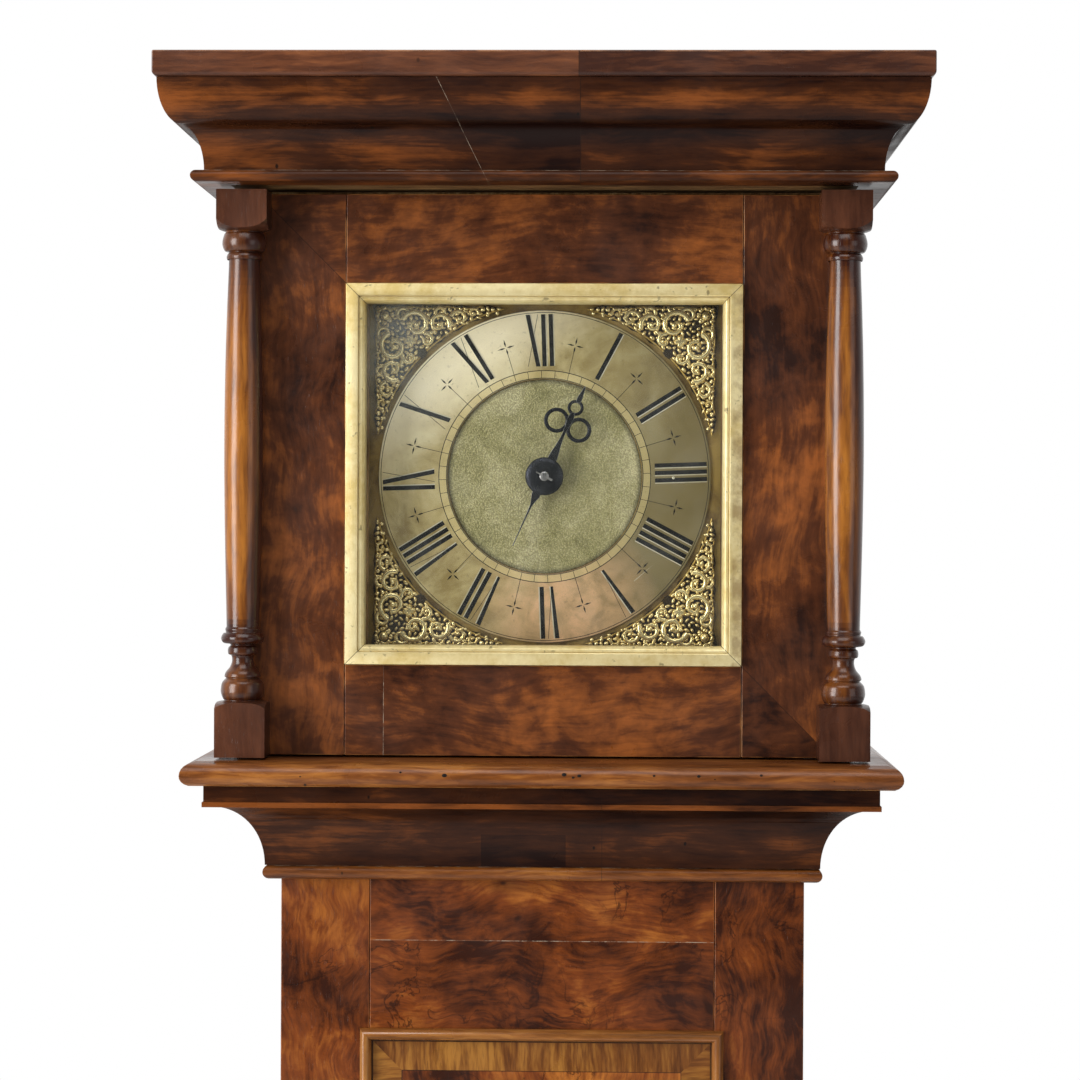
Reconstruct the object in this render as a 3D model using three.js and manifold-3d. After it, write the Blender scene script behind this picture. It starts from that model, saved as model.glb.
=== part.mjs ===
// Longcase clock with a thirty-hour movement, a single hand and a passing strike.
// Millimetres. X runs to the clock's right as seen from the front, Y to the wall, Z up.
// The origin is on the floor, in the middle of the clock's outline.
import * as THREE from 'three';
import { mergeVertices } from 'three/addons/utils/BufferGeometryUtils.js';
import Module from 'manifold-3d';

const wasm = await Module();
wasm.setup();

// General clearances
const fit = 0.3; // glue line or seat between two pieces
const overrun = 1; // how far a cutting tool runs past the piece that it cuts
const round = 24; // sides of an ordinary turned piece

// Heights of the three stages of the case
const baseHeight = 450;
const trunkFrontHeight = 930; // what shows between the two mouldings
const hoodDoorwayHeight = 398; // hood floor to the underside of the cornice

// Plinth and base
const baseProjection = 30; // the base stands out from the trunk by this much
const baseBoard = 16;
const skirtingHeight = 95;
const skirtingThickness = 12;
const baseMouldingHeight = 40;
const baseMouldingProjection = 34;

// Trunk
const trunkWidth = 368;
const trunkDepth = 187;
const sideBoard = 16;
const frontBoard = 18;
const backBoard = 12;
const doorwayHalf = 121.5; // half the width of the trunk's doorway
const doorwayTopRail = 112; // trunk moulding down to the doorway
const doorwayBottomRail = 98; // base moulding up to the doorway
const sideFootLength = 140; // trunk sides run this far down into the base
const frontFootLength = 50;
const doorGap = 1; // round the trunk door's board
const doorBoard = 17;
const lipWidth = 8.3;
const lipThickness = 7;
const lipOverlap = 6.5; // the lip covers the edge of the doorway by this much

// Moulding under the hood
const throatBead = 10;
const throatBeadProjection = 12;
const throatCove = 44;
const throatCoveFoot = 10.5;
const throatCoveHead = 45.5;
const throatFascia = 15;
const throatProjection = 49.5;

// Hood
const hoodOverhang = 33; // the hood's sides stand outside the trunk's by this much
const hoodSideBoard = 15;
const hoodForward = 11; // the hood door's face stands this far in front of the trunk
const hoodFloor = 17;
const noseProjection = 30.5; // hood base moulding, beyond the hood's sides
const noseForward = 52; // the same moulding, in front of the door's face
const slideGap = 1.5; // between the hood and what it slides over
const maskThickness = 6;
const maskOpeningHalf = 124.5;
const corniceBead = 8;
const corniceOgee = 60.5;
const corniceBeadProjection = 25;
const ogeeFoot = 16.5;
const ogeeHead = 45;
const corniceForward = 47; // cornice bead, in front of the door's face
const topBoard = 17.5;
const topBoardProjection = 48;
const topBoardForward = 70; // front edge, in front of the door's face
const topBoardEase = 3.5;

// Hood door, glazing and columns
const hoodDoorThickness = 20;
const glazingHalfWidth = 139;
const glazingHalfHeight = 133.7;
const bezelWidth = 16;
const bezelHeight = 14;
const bezelProud = 7;
const bezelDepth = 19;
const glassThickness = 2;
const glassRebate = 4;
const doorHeadGap = 3.5;
const columnWidth = 35;
const columnProud = 30;
const columnOutside = 9.3; // the column blocks stand out past the hood's side

// Dial
const dialSize = 254;
const dialThickness = 2.5;
const dialBehindDoor = 32;
const dialBelowGlassCentre = 0.8;
const dialHole = 6;
const dialFootRadius = 3;
const dialFootSpread = 60;
const dialFootHeight = 68;
const ringOuter = 118;
const ringInner = 69.3;
const ringThickness = 1.5;
const spandrelThickness = 3.2;
const spandrelMargin = 4;
const spandrelLength = 90;
const spandrelGap = 2.5; // to the chapter ring
const spandrelLobe = 2;

// Seatboard
const seatboardThickness = 19;
const seatboardFront = 28; // behind the trunk's front face
const seatboardDepth = 87;
const chainHole = 8;

// Movement frame
const plateHeight = 190;
const plateHalf = 75;
const plateThickness = 3;
const plateSpacing = 45; // between the two plates
const plateBehindDial = 15.5; // dial plate's back to the front plate
const dialCentreAboveSeat = 112;
const pillarRadius = 5;
const pillarWaist = 3.5;
const pillarInset = 8;
const postRadius = 2.5;

// Train
const greatTeeth = 64;
const secondTeeth = 60;
const pinionLeaves = 8;
const hourTeeth = 48;
const reportLeaves = 4;
const escapeTeeth = 30;
const greatModule = 1;
const secondModule = 0.8;
const hourModule = 1.4;
const meshGap = 0.1; // added to every centre distance
const greatAngle = -22; // direction from the hour post to the great wheel, in degrees
const secondAngle = 106; // from the great wheel to the second wheel
const escapeAngle = 151.2; // from the second wheel to the escape wheel
const wheelThickness = 2.2;
const pinionLength = 5;
const arborRadius = 1.6;
const pivotRadius = 1.2;
const pivotGap = 0.3;
const greatBehindPlate = 6; // front plate's back to the great wheel
const sprocketBehindPlate = 19;
const sprocketWidth = 9;
const sprocketFlange = 3;
const sprocketGroove = 22.7;
const secondBehindPlate = 31;
const escapeBehindPlate = 38;
const escapeRadius = 19;
const escapeThickness = 1.4;
const hourBehindDial = 7.5;
const pipeRadius = 4.6;
const pipeBore = 2.8;
const pipeTip = 3;

// Anchor, crutch and pendulum
const palletDistance = 27;
const anchorGap = 1.7;
const anchorArm = 4.5;
const anchorSpan = 46; // degrees each side of upright, at the escape wheel's centre
const crutchLength = 92;
const crutchBehindPlate = 5;
const crutchBar = 4;
const pendulumBehindPlate = 47;
const pendulumLength = 980; // suspension to the middle of the bob
const rodRadius = 2;
const springHalf = 4;
const springLength = 26;
const bobRadius = 52;
const bobThickness = 26;
const ratingNutRadius = 8;
const ratingNutHeight = 9;
const rodBelowNut = 14;
const cockHalf = 26;
const cockHeight = 22;
const cockLeg = 6;
const cockStandoff = 15;
const cockBar = 4;
const cockNeck = 5;

// Hand
const handThickness = 1.6;
const handAboveDial = 9;
const handBoss = 13.5;
const handBossRise = 3.2;
const handLength = 70;
const tailLength = 53;
const handAngle = 24.3; // degrees past twelve

// Chain, weight and counterweight
const chainRadius = 2;
const weightRadius = 36;
const weightHeight = 165;
const weightHookHeight = 22;
const weightDrop = 440; // sprocket down to the top of the weight's hook
const counterRadius = 11;
const counterHeight = 26;
const counterDrop = 760;

// Bell and hammer
const bellRadius = 42;
const bellWall = 2.4;
const bellHeight = 36;
const bellAbovePlates = 9;
const bellBehindPlate = 31;
const standWidth = 10;
const standStrip = 3;
const standOffset = 47;
const hammerOffset = 50;
const hammerBelowTop = 17;
const hammerHeadRadius = 5;
const hammerHeadLength = 12;
const hammerReach = 33;
const hammerGap = 2.2;

// Trunk door furniture
const lockDrop = 0.36; // share of the door's height from its top to the lock
const lockInset = 22;
const lockPlateHalf = 11;
const lockPlateHeight = 38;
const lockPlateThickness = 1.2;
const lockBarrel = 3;
const lockCaseWidth = 40;
const lockCaseHeight = 32;
const lockCaseDepth = 7;
const hingeKnuckle = 3;
const hingeLength = 62;
const hingeLeaf = 27;
const hingeLeafThickness = 1.4;
const hingeInset = 95;

// Levels and planes that follow from the sizes above
const throatHeight = throatBead + throatCove + throatFascia;
const trunkFoot = baseHeight + baseMouldingHeight;
const throatFoot = trunkFoot + trunkFrontHeight;
const hoodSeat = throatFoot + throatHeight;
const hoodFloorTop = hoodSeat + hoodFloor;
const soffit = hoodFloorTop + hoodDoorwayHeight;
const corniceTop = soffit + corniceBead + corniceOgee;
const overallDepth = trunkDepth + hoodForward + topBoardForward;
const backFace = overallDepth / 2;
const trunkFace = backFace - trunkDepth;
const doorFace = trunkFace - hoodForward;
const boardFront = backFace - backBoard;
const trunkHalf = trunkWidth / 2;
const baseHalf = trunkHalf + baseProjection;
const hoodHalf = trunkHalf + hoodOverhang;
const baseFace = trunkFace - baseProjection;
const hoodFront = doorFace + hoodDoorThickness + fit;
const doorwayTop = throatFoot - doorwayTopRail;
const doorwayFoot = trunkFoot + doorwayBottomRail;
const doorFoot = hoodFloorTop + slideGap;
const doorHead = soffit - doorHeadGap;
const glassCentre = doorHead - (doorHead - doorFoot) / 2 + slideGap * 0.4;
const dialCentre = glassCentre - dialBelowGlassCentre;
const dialFace = doorFace + dialBehindDoor;
const dialBack = dialFace + dialThickness;
const plateFoot = dialCentre - dialCentreAboveSeat;
const frontPlateBack = dialBack + plateBehindDial + plateThickness;
const backPlateFront = frontPlateBack + plateSpacing;
const seatTop = plateFoot - fit;
const seatFoot = seatTop - seatboardThickness;

const walnutVeneer = new THREE.MeshStandardMaterial({ color: 0x6b3a1c, roughness: 0.35 });
const walnutMoulding = new THREE.MeshStandardMaterial({ color: 0x5a2c16, roughness: 0.38 });
const walnutColumn = new THREE.MeshStandardMaterial({ color: 0x9a5f30, roughness: 0.35 });
const oak = new THREE.MeshStandardMaterial({ color: 0x7a5a36, roughness: 0.7 });
const gilt = new THREE.MeshStandardMaterial({ color: 0xd9c48a, roughness: 0.4, metalness: 0.8 });
const brass = new THREE.MeshStandardMaterial({ color: 0xb08d4c, roughness: 0.35, metalness: 1 });
const silvered = new THREE.MeshStandardMaterial({ color: 0xb7ac86, roughness: 0.4, metalness: 0.8 });
const darkSteel = new THREE.MeshStandardMaterial({ color: 0x26262c, roughness: 0.35, metalness: 0.9 });
const steel = new THREE.MeshStandardMaterial({ color: 0x8a8a8c, roughness: 0.35, metalness: 1 });
const iron = new THREE.MeshStandardMaterial({ color: 0x55575a, roughness: 0.7, metalness: 0.6 });
const clearGlass = new THREE.MeshStandardMaterial({
  color: 0xe8efe8, roughness: 0.05, transparent: true, opacity: 0.25,
});

const clock = new THREE.Group();

// Returns the geometry with shared corners, no empty faces, and its faces pointing out.
function closed(geometry) {
  const bare = geometry.clone();
  for (const name of Object.keys(bare.attributes)) {
    if (name !== 'position') bare.deleteAttribute(name);
  }
  const merged = mergeVertices(bare, 1e-3);
  const place = merged.attributes.position;
  const corner = (i) => new THREE.Vector3().fromBufferAttribute(place, i);
  const faces = [];
  let volume = 0;
  for (let i = 0; i < merged.index.count; i += 3) {
    const [a, b, c] = [0, 1, 2].map((k) => merged.index.getX(i + k));
    if (a === b || b === c || c === a) continue;
    faces.push(a, b, c);
    volume += corner(a).dot(corner(b).cross(corner(c)));
  }
  if (volume < 0) {
    for (let i = 0; i < faces.length; i += 3) {
      [faces[i + 1], faces[i + 2]] = [faces[i + 2], faces[i + 1]];
    }
  }
  merged.setIndex(faces);
  return merged;
}

function solidOf(geometry) {
  const shell = closed(geometry);
  return new wasm.Manifold(new wasm.Mesh({
    numProp: 3,
    vertProperties: new Float32Array(shell.attributes.position.array),
    triVerts: new Uint32Array(shell.index.array),
  }));
}

function geometryOf(solid) {
  const mesh = solid.getMesh();
  const geometry = new THREE.BufferGeometry();
  geometry.setAttribute('position', new THREE.BufferAttribute(mesh.vertProperties, 3));
  geometry.setIndex(new THREE.BufferAttribute(mesh.triVerts, 1));
  return geometry;
}

const join = (first, ...rest) =>
  geometryOf(rest.reduce((whole, piece) => whole.add(solidOf(piece)), solidOf(first)));
const cut = (first, ...rest) =>
  geometryOf(rest.reduce((whole, piece) => whole.subtract(solidOf(piece)), solidOf(first)));
const common = (first, second) => geometryOf(solidOf(first).intersect(solidOf(second)));

function add(name, geometry, material) {
  const mesh = new THREE.Mesh(closed(geometry), material);
  mesh.geometry.computeVertexNormals();
  mesh.name = name;
  clock.add(mesh);
}

// A board between two corners.
function board(x0, x1, y0, y1, z0, z1) {
  const geometry = new THREE.BoxGeometry(x1 - x0, y1 - y0, z1 - z0);
  return geometry.translate((x0 + x1) / 2, (y0 + y1) / 2, (z0 + z1) / 2);
}

const outline = (points) => new THREE.Shape(points.map(([x, y]) => new THREE.Vector2(x, y)));

function circle(x, y, radius, sides = round) {
  const points = [];
  for (let i = 0; i < sides; i += 1) {
    const turn = (i / sides) * 2 * Math.PI;
    points.push([x + radius * Math.cos(turn), y + radius * Math.sin(turn)]);
  }
  return outline(points);
}

// A flat piece drawn as seen from the front, from plane y0 back to plane y1.
function upright(shape, y0, y1) {
  const geometry = new THREE.ExtrudeGeometry(shape, { depth: y1 - y0, bevelEnabled: false });
  return geometry.rotateX(Math.PI / 2).translate(0, y1, 0);
}

// A flat piece drawn as seen from above, from level z0 up to level z1.
function level(shape, z0, z1) {
  const geometry = new THREE.ExtrudeGeometry(shape, { depth: z1 - z0, bevelEnabled: false });
  return geometry.translate(0, 0, z0);
}

// A piece turned about an upright axis, from [radius, height] points.
function turnedUp(points, x, y, sides = round) {
  const profile = points.map(([radius, height]) => new THREE.Vector2(radius, height));
  return new THREE.LatheGeometry(profile, sides).rotateX(Math.PI / 2).translate(x, y, 0);
}

// A piece turned about an axis that runs from front to back, from [radius, y] points.
function turnedBack(points, x, z, sides = round) {
  const profile = points.map(([radius, y]) => new THREE.Vector2(radius, y));
  return new THREE.LatheGeometry(profile, sides).translate(x, 0, z);
}

const rodUp = (radius, z0, z1, x, y, sides) =>
  turnedUp([[0, z0], [radius, z0], [radius, z1], [0, z1]], x, y, sides);
const rodBack = (radius, y0, y1, x, z, sides) =>
  turnedBack([[0, y0], [radius, y0], [radius, y1], [0, y1]], x, z, sides);

// Points on an arc of an ellipse. Angles are in degrees.
function arc(x, y, radiusX, radiusY, from, to, steps) {
  const points = [];
  for (let i = 0; i <= steps; i += 1) {
    const turn = THREE.MathUtils.degToRad(from + ((to - from) * i) / steps);
    points.push([x + radiusX * Math.cos(turn), y + radiusY * Math.sin(turn)]);
  }
  return points;
}

// Carries a closed outline through a row of stations. A station places one outline point.
function loft(profile, stations, endless = false) {
  const flat = profile.map(([x, y]) => new THREE.Vector2(x, y));
  const points = THREE.ShapeUtils.isClockWise(flat) ? [...profile].reverse() : profile;
  const count = points.length;
  const places = stations.flatMap((station) => points.flatMap((point) => station(point)));
  const faces = [];
  const spans = endless ? stations.length : stations.length - 1;
  for (let s = 0; s < spans; s += 1) {
    const here = s * count;
    const there = ((s + 1) % stations.length) * count;
    for (let j = 0; j < count; j += 1) {
      const k = (j + 1) % count;
      faces.push(here + j, here + k, there + j, here + k, there + k, there + j);
    }
  }
  if (!endless) {
    const ends = points.map(([x, y]) => new THREE.Vector2(x, y));
    const last = (stations.length - 1) * count;
    for (const [a, b, c] of THREE.ShapeUtils.triangulateShape(ends, [])) {
      faces.push(c, b, a, last + a, last + b, last + c);
    }
  }
  const geometry = new THREE.BufferGeometry();
  geometry.setAttribute('position', new THREE.Float32BufferAttribute(places, 3));
  geometry.setIndex(faces);
  return geometry;
}

// A moulding mitred round the front and both sides. Its outline is [projection, height].
function moulding(profile, half, front, back = backFace) {
  return loft(profile, [
    ([out, up]) => [-half - out, back, up],
    ([out, up]) => [-half - out, front - out, up],
    ([out, up]) => [half + out, front - out, up],
    ([out, up]) => [half + out, back, up],
  ]);
}

// A frame of four mitred bars. Its outline is [share of the bar's width from outside, y].
function frame(profile, halfWidth, halfHeight, barWidth, barHeight, z) {
  const station = (sx, sz) => ([share, y]) => [
    sx * (halfWidth - share * barWidth), y, z + sz * (halfHeight - share * barHeight),
  ];
  return loft(profile, [station(-1, -1), station(1, -1), station(1, 1), station(-1, 1)], true);
}

// The point at a distance and an angle in degrees, seen from the front.
function polar([x, z], distance, degrees) {
  const turn = THREE.MathUtils.degToRad(degrees);
  return [x + distance * Math.cos(turn), z + distance * Math.sin(turn)];
}

// Case: back, sides and front of the trunk

function makeBackboard() {
  const wing = hoodHalf - hoodSideBoard - slideGap;
  const wingFoot = hoodFloorTop + slideGap;
  const top = corniceTop - slideGap * 2;
  const half = [
    [baseHalf, 0], [baseHalf, baseHeight], [trunkHalf, baseHeight],
    [trunkHalf, wingFoot], [wing, wingFoot], [wing, top],
  ];
  const mirrored = [...half].reverse().map(([x, z]) => [-x, z]);
  add('backboard', upright(outline([...half, ...mirrored]), boardFront, backFace), oak);
}

function makeTrunk() {
  const sideFront = trunkFace + frontBoard + fit;
  const sideBack = boardFront - fit;
  const inner = trunkHalf - sideBoard;
  const sideFoot = baseHeight - sideFootLength;
  const frontFoot = baseHeight - frontFootLength;
  const frontBack = trunkFace + frontBoard;
  for (const [name, s] of [['left', -1], ['right', 1]]) {
    const x = [s * inner, s * trunkHalf].sort((a, b) => a - b);
    add(`trunk_side_${name}`, board(...x, sideFront, sideBack, sideFoot, seatFoot - fit), oak);
    const w = [s * doorwayHalf, s * trunkHalf].sort((a, b) => a - b);
    const stile = board(...w, trunkFace, frontBack, frontFoot, hoodSeat - fit);
    add(`trunk_stile_${name}`, stile, walnutVeneer);
  }
  const rail = doorwayHalf - fit;
  const top = board(-rail, rail, trunkFace, frontBack, doorwayTop, hoodSeat - fit);
  const bottom = board(-rail, rail, trunkFace, frontBack, frontFoot, doorwayFoot);
  add('trunk_top_rail', top, walnutVeneer);
  add('trunk_bottom_rail', bottom, walnutVeneer);
}

// Bead, hollow and flat under the hood. The hollow is a quarter of an ellipse.
function makeThroatMoulding() {
  const beadTop = throatFoot + throatBead;
  const coveTop = beadTop + throatCove;
  const middle = throatFoot + throatBead / 2;
  const profile = [
    [fit, throatFoot],
    ...arc(throatBeadProjection - throatBead / 2, middle, throatBead / 2, throatBead / 2, -90, 90, 6),
    [throatCoveFoot, beadTop],
    ...arc(throatCoveHead, beadTop, throatCoveHead - throatCoveFoot, throatCove, 180, 90, 8).slice(1),
    [throatProjection, coveTop],
    [throatProjection, hoodSeat],
    [fit, hoodSeat],
  ];
  add('throat_moulding', moulding(profile, trunkHalf, trunkFace), walnutMoulding);
}

// Case: base and plinth

function makeBase() {
  const front = baseFace + baseBoard;
  const inner = baseHalf - baseBoard;
  for (const [name, s] of [['left', -1], ['right', 1]]) {
    const x = [s * inner, s * baseHalf].sort((a, b) => a - b);
    const side = board(...x, front + fit, boardFront - fit, 0, baseHeight);
    add(`base_side_${name}`, side, walnutVeneer);
  }
  add('base_front', board(-baseHalf, baseHalf, baseFace, front, 0, baseHeight), walnutVeneer);

  const foot = baseHeight + fit;
  const lip = baseMouldingHeight / 5;
  const bead = baseMouldingHeight / 10;
  const neck = baseMouldingProjection / 4;
  const cove = baseMouldingHeight - lip - bead - fit;
  const profile = [
    [fit, foot],
    [baseMouldingProjection, foot],
    [baseMouldingProjection, foot + lip],
    ...arc(baseMouldingProjection, foot + lip + cove, baseMouldingProjection - neck, cove, 270, 180, 8)
      .slice(1),
    ...arc(neck, foot + lip + cove + bead / 2, bead / 2, bead / 2, -90, 90, 4).slice(1),
    [fit, foot + lip + cove + bead],
  ];
  add('base_moulding', moulding(profile, trunkHalf, trunkFace), walnutMoulding);

  const cap = skirtingThickness * 0.8;
  const skirting = [
    [fit, 0],
    [skirtingThickness, 0],
    [skirtingThickness, skirtingHeight - cap * 1.6],
    [skirtingThickness - cap * 0.2, skirtingHeight - cap * 1.3],
    ...arc(fit + cap * 0.2, skirtingHeight - cap * 1.3, cap * 0.75, cap * 1.3, 0, 90, 5),
    [fit, skirtingHeight],
  ];
  add('skirting', moulding(skirting, baseHalf, baseFace), walnutMoulding);
}

// Trunk door: a board inside the doorway, a half-round lip planted on it, lock and hinges

function makeTrunkDoor() {
  const half = doorwayHalf - doorGap;
  const foot = doorwayFoot + doorGap;
  const head = doorwayTop - doorGap;
  const middle = (foot + head) / 2;
  const lockX = -half + lockInset;
  const lockZ = head - (head - foot) * lockDrop;
  const doorBack = trunkFace + doorBoard;
  const panel = board(-half, half, trunkFace, doorBack, foot, head);
  const hole = rodBack(lockBarrel + fit, trunkFace - overrun, doorBack + overrun, lockX, lockZ, 12);
  add('trunk_door_board', cut(panel, hole), walnutVeneer);

  const lipBack = trunkFace - fit;
  const lipRound = arc(0.5, lipBack, 0.5, lipThickness, 0, -180, 8);
  const lip = frame(
    lipRound, doorwayHalf + lipOverlap, (doorwayTop - doorwayFoot) / 2 + lipOverlap,
    lipWidth, lipWidth, middle,
  );
  add('trunk_door_lip', lip, walnutMoulding);

  const plateFront = trunkFace - fit - lockPlateThickness;
  const caseBack = doorBack + fit + lockCaseDepth;
  const plate = circle(0, 0, lockPlateHalf, 20);
  const shield = upright(plate, plateFront, trunkFace - fit)
    .scale(1, 1, lockPlateHeight / (2 * lockPlateHalf)).translate(lockX, 0, lockZ);
  const barrel = rodBack(lockBarrel, plateFront, caseBack, lockX, lockZ, 12);
  const box = board(
    lockX - lockInset + 2 * doorGap, lockX - lockInset + lockCaseWidth,
    doorBack + fit, caseBack, lockZ - lockCaseHeight / 2, lockZ + lockCaseHeight / 2,
  );
  add('trunk_door_lock', join(shield, barrel, box), brass);

  const lipOuter = doorwayHalf + lipOverlap;
  const hingeX = lipOuter + fit + hingeKnuckle;
  const hingeY = trunkFace - fit - hingeKnuckle;
  for (const [name, z] of [['lower', doorwayFoot + hingeInset], ['upper', doorwayTop - hingeInset]]) {
    const knuckle = rodUp(hingeKnuckle, z - hingeLength / 2, z + hingeLength / 2, hingeX, hingeY, 12);
    const leaf = board(
      hingeX, hingeX + hingeLeaf, trunkFace - fit - hingeLeafThickness, trunkFace - fit,
      z - hingeLength * 0.42, z + hingeLength * 0.42,
    );
    add(`trunk_hinge_${name}`, join(knuckle, leaf), brass);
  }
}

// Hood: floor moulding, sides, dial mask, cornice and top board

function makeHood() {
  const sideInner = hoodHalf - hoodSideBoard;
  for (const [name, s] of [['left', -1], ['right', 1]]) {
    const x = [s * sideInner, s * hoodHalf].sort((a, b) => a - b);
    const side = board(...x, hoodFront, backFace, hoodFloorTop + fit, corniceTop - fit);
    add(`hood_side_${name}`, side, walnutVeneer);
  }

  const maskHalf = sideInner - fit;
  const mask = outline([
    [-maskHalf, hoodFloorTop + fit], [maskHalf, hoodFloorTop + fit],
    [maskHalf, corniceTop - fit], [-maskHalf, corniceTop - fit],
  ]);
  const sight = maskOpeningHalf;
  mask.holes.push(outline([
    [-sight, dialCentre - sight], [sight, dialCentre - sight],
    [sight, dialCentre + sight], [-sight, dialCentre + sight],
  ]));
  add('dial_mask', upright(mask, hoodFront, hoodFront + maskThickness), oak);

  // The floor moulding rests on the throat moulding and is open at the back.
  const inner = trunkHalf + slideGap;
  const nose = hoodHalf + noseProjection;
  const low = hoodSeat + fit;
  const floorHeight = hoodFloorTop - low;
  const thumb = floorHeight * 0.45;
  const floorProfile = [
    [0, low],
    [nose - inner - thumb * 0.7, low],
    ...arc(nose - inner - thumb, low + floorHeight * 0.42, thumb, floorHeight * 0.42, -70, 0, 4),
    ...arc(nose - inner - thumb, low + floorHeight * 0.42, thumb, floorHeight * 0.5, 0, 70, 4).slice(1),
    [nose - inner - thumb * 1.4, hoodFloorTop],
    [0, hoodFloorTop],
  ];
  const floorFront = doorFace - noseForward + (nose - inner);
  const sweep = moulding(floorProfile, inner, floorFront);
  const sill = board(
    -inner - overrun, inner + overrun, floorFront - overrun, hoodFront + maskThickness,
    low, hoodFloorTop,
  );
  const notch = board(
    -inner, inner, trunkFace + frontBoard - overrun, backFace, low - overrun, hoodFloorTop + overrun,
  );
  add('hood_base_moulding', cut(join(sweep, sill), notch), walnutMoulding);

  // Bead, hollow, then a swelling curve up to the top board.
  const beadTop = soffit + corniceBead;
  const half = corniceOgee / 2;
  const mid = (ogeeFoot + ogeeHead) / 2;
  const reach = (ogeeHead - ogeeFoot) / 2;
  const profile = [
    [fit, soffit],
    ...arc(corniceBeadProjection - corniceBead / 2, soffit + corniceBead / 2,
      corniceBead / 2, corniceBead / 2, -90, 90, 6),
    ...arc(mid, beadTop + fit, reach, half, 180, 90, 6),
    ...arc(mid, corniceTop - fit, reach, half, 270, 360, 6).slice(1),
    [fit, corniceTop - fit],
  ];
  const corniceFront = doorFace - corniceForward + corniceBeadProjection;
  const run = moulding(profile, hoodHalf, corniceFront);
  const core = board(
    -hoodHalf - overrun, hoodHalf + overrun, corniceFront - overrun, hoodFront - fit,
    soffit, corniceTop - fit,
  );
  add('cornice_moulding', join(run, core), walnutMoulding);

  const ease = topBoardEase;
  const reachOut = hoodHalf + topBoardProjection;
  const edge = [
    [-sideInner, corniceTop],
    [topBoardProjection - ease, corniceTop],
    ...arc(topBoardProjection - ease, corniceTop + ease, ease, ease, -60, 0, 3),
    [topBoardProjection, corniceTop + topBoard - ease / 2],
    [topBoardProjection - ease / 2, corniceTop + topBoard],
    [-sideInner, corniceTop + topBoard],
  ];
  const rim = moulding(edge, hoodHalf, doorFace - topBoardForward + topBoardProjection);
  const slabFront = doorFace - topBoardForward + topBoardProjection;
  const slab = board(
    -reachOut / 2, reachOut / 2, slabFront, backFace, corniceTop, corniceTop + topBoard,
  );
  add('hood_top_board', join(trimmed(rim), slab), walnutMoulding);
}

// Keeps what lies in front of the clock's back plane.
function trimmed(geometry) {
  const far = 2 * (hoodHalf + topBoardProjection);
  return common(geometry, board(-far, far, -far, backFace, 0, corniceTop + topBoard + overrun));
}

// Hood door: stiles, rails, glazing bezel, glass and the two columns that swing with it

const turnedShares = [
  [1.47, 0], [1.47, 0.084], [1.24, 0.093], [0.94, 0.0972], [0.74, 0.0992],
  [0.79, 0.103], [0.86, 0.112], [0.865, 0.1196], [0.82, 0.13], [0.71, 0.136],
  [0.66, 0.1387], [0.72, 0.1415], [0.67, 0.149], [0.51, 0.158], [0.43, 0.168],
  [0.45, 0.178], [0.565, 0.1807], [0.595, 0.1868], [0.565, 0.193], [0.51, 0.195],
  [0.51, 0.1985], [0.775, 0.201], [0.865, 0.209], [0.775, 0.2176], [0.68, 0.2193],
  [0.7, 0.225], [0.66, 0.229], [0.65, 0.234], [0.7, 0.331], [0.75, 0.445],
  [0.77, 0.56], [0.74, 0.687], [0.68, 0.789], [0.61, 0.8766], [0.68, 0.879],
  [0.7, 0.884], [0.66, 0.889], [0.61, 0.892], [0.77, 0.8944], [0.86, 0.903],
  [0.87, 0.912], [0.8, 0.9237], [0.75, 0.928], [1, 0.9326], [1.24, 0.939],
  [1.47, 0.9517], [1.47, 1],
];

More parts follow.
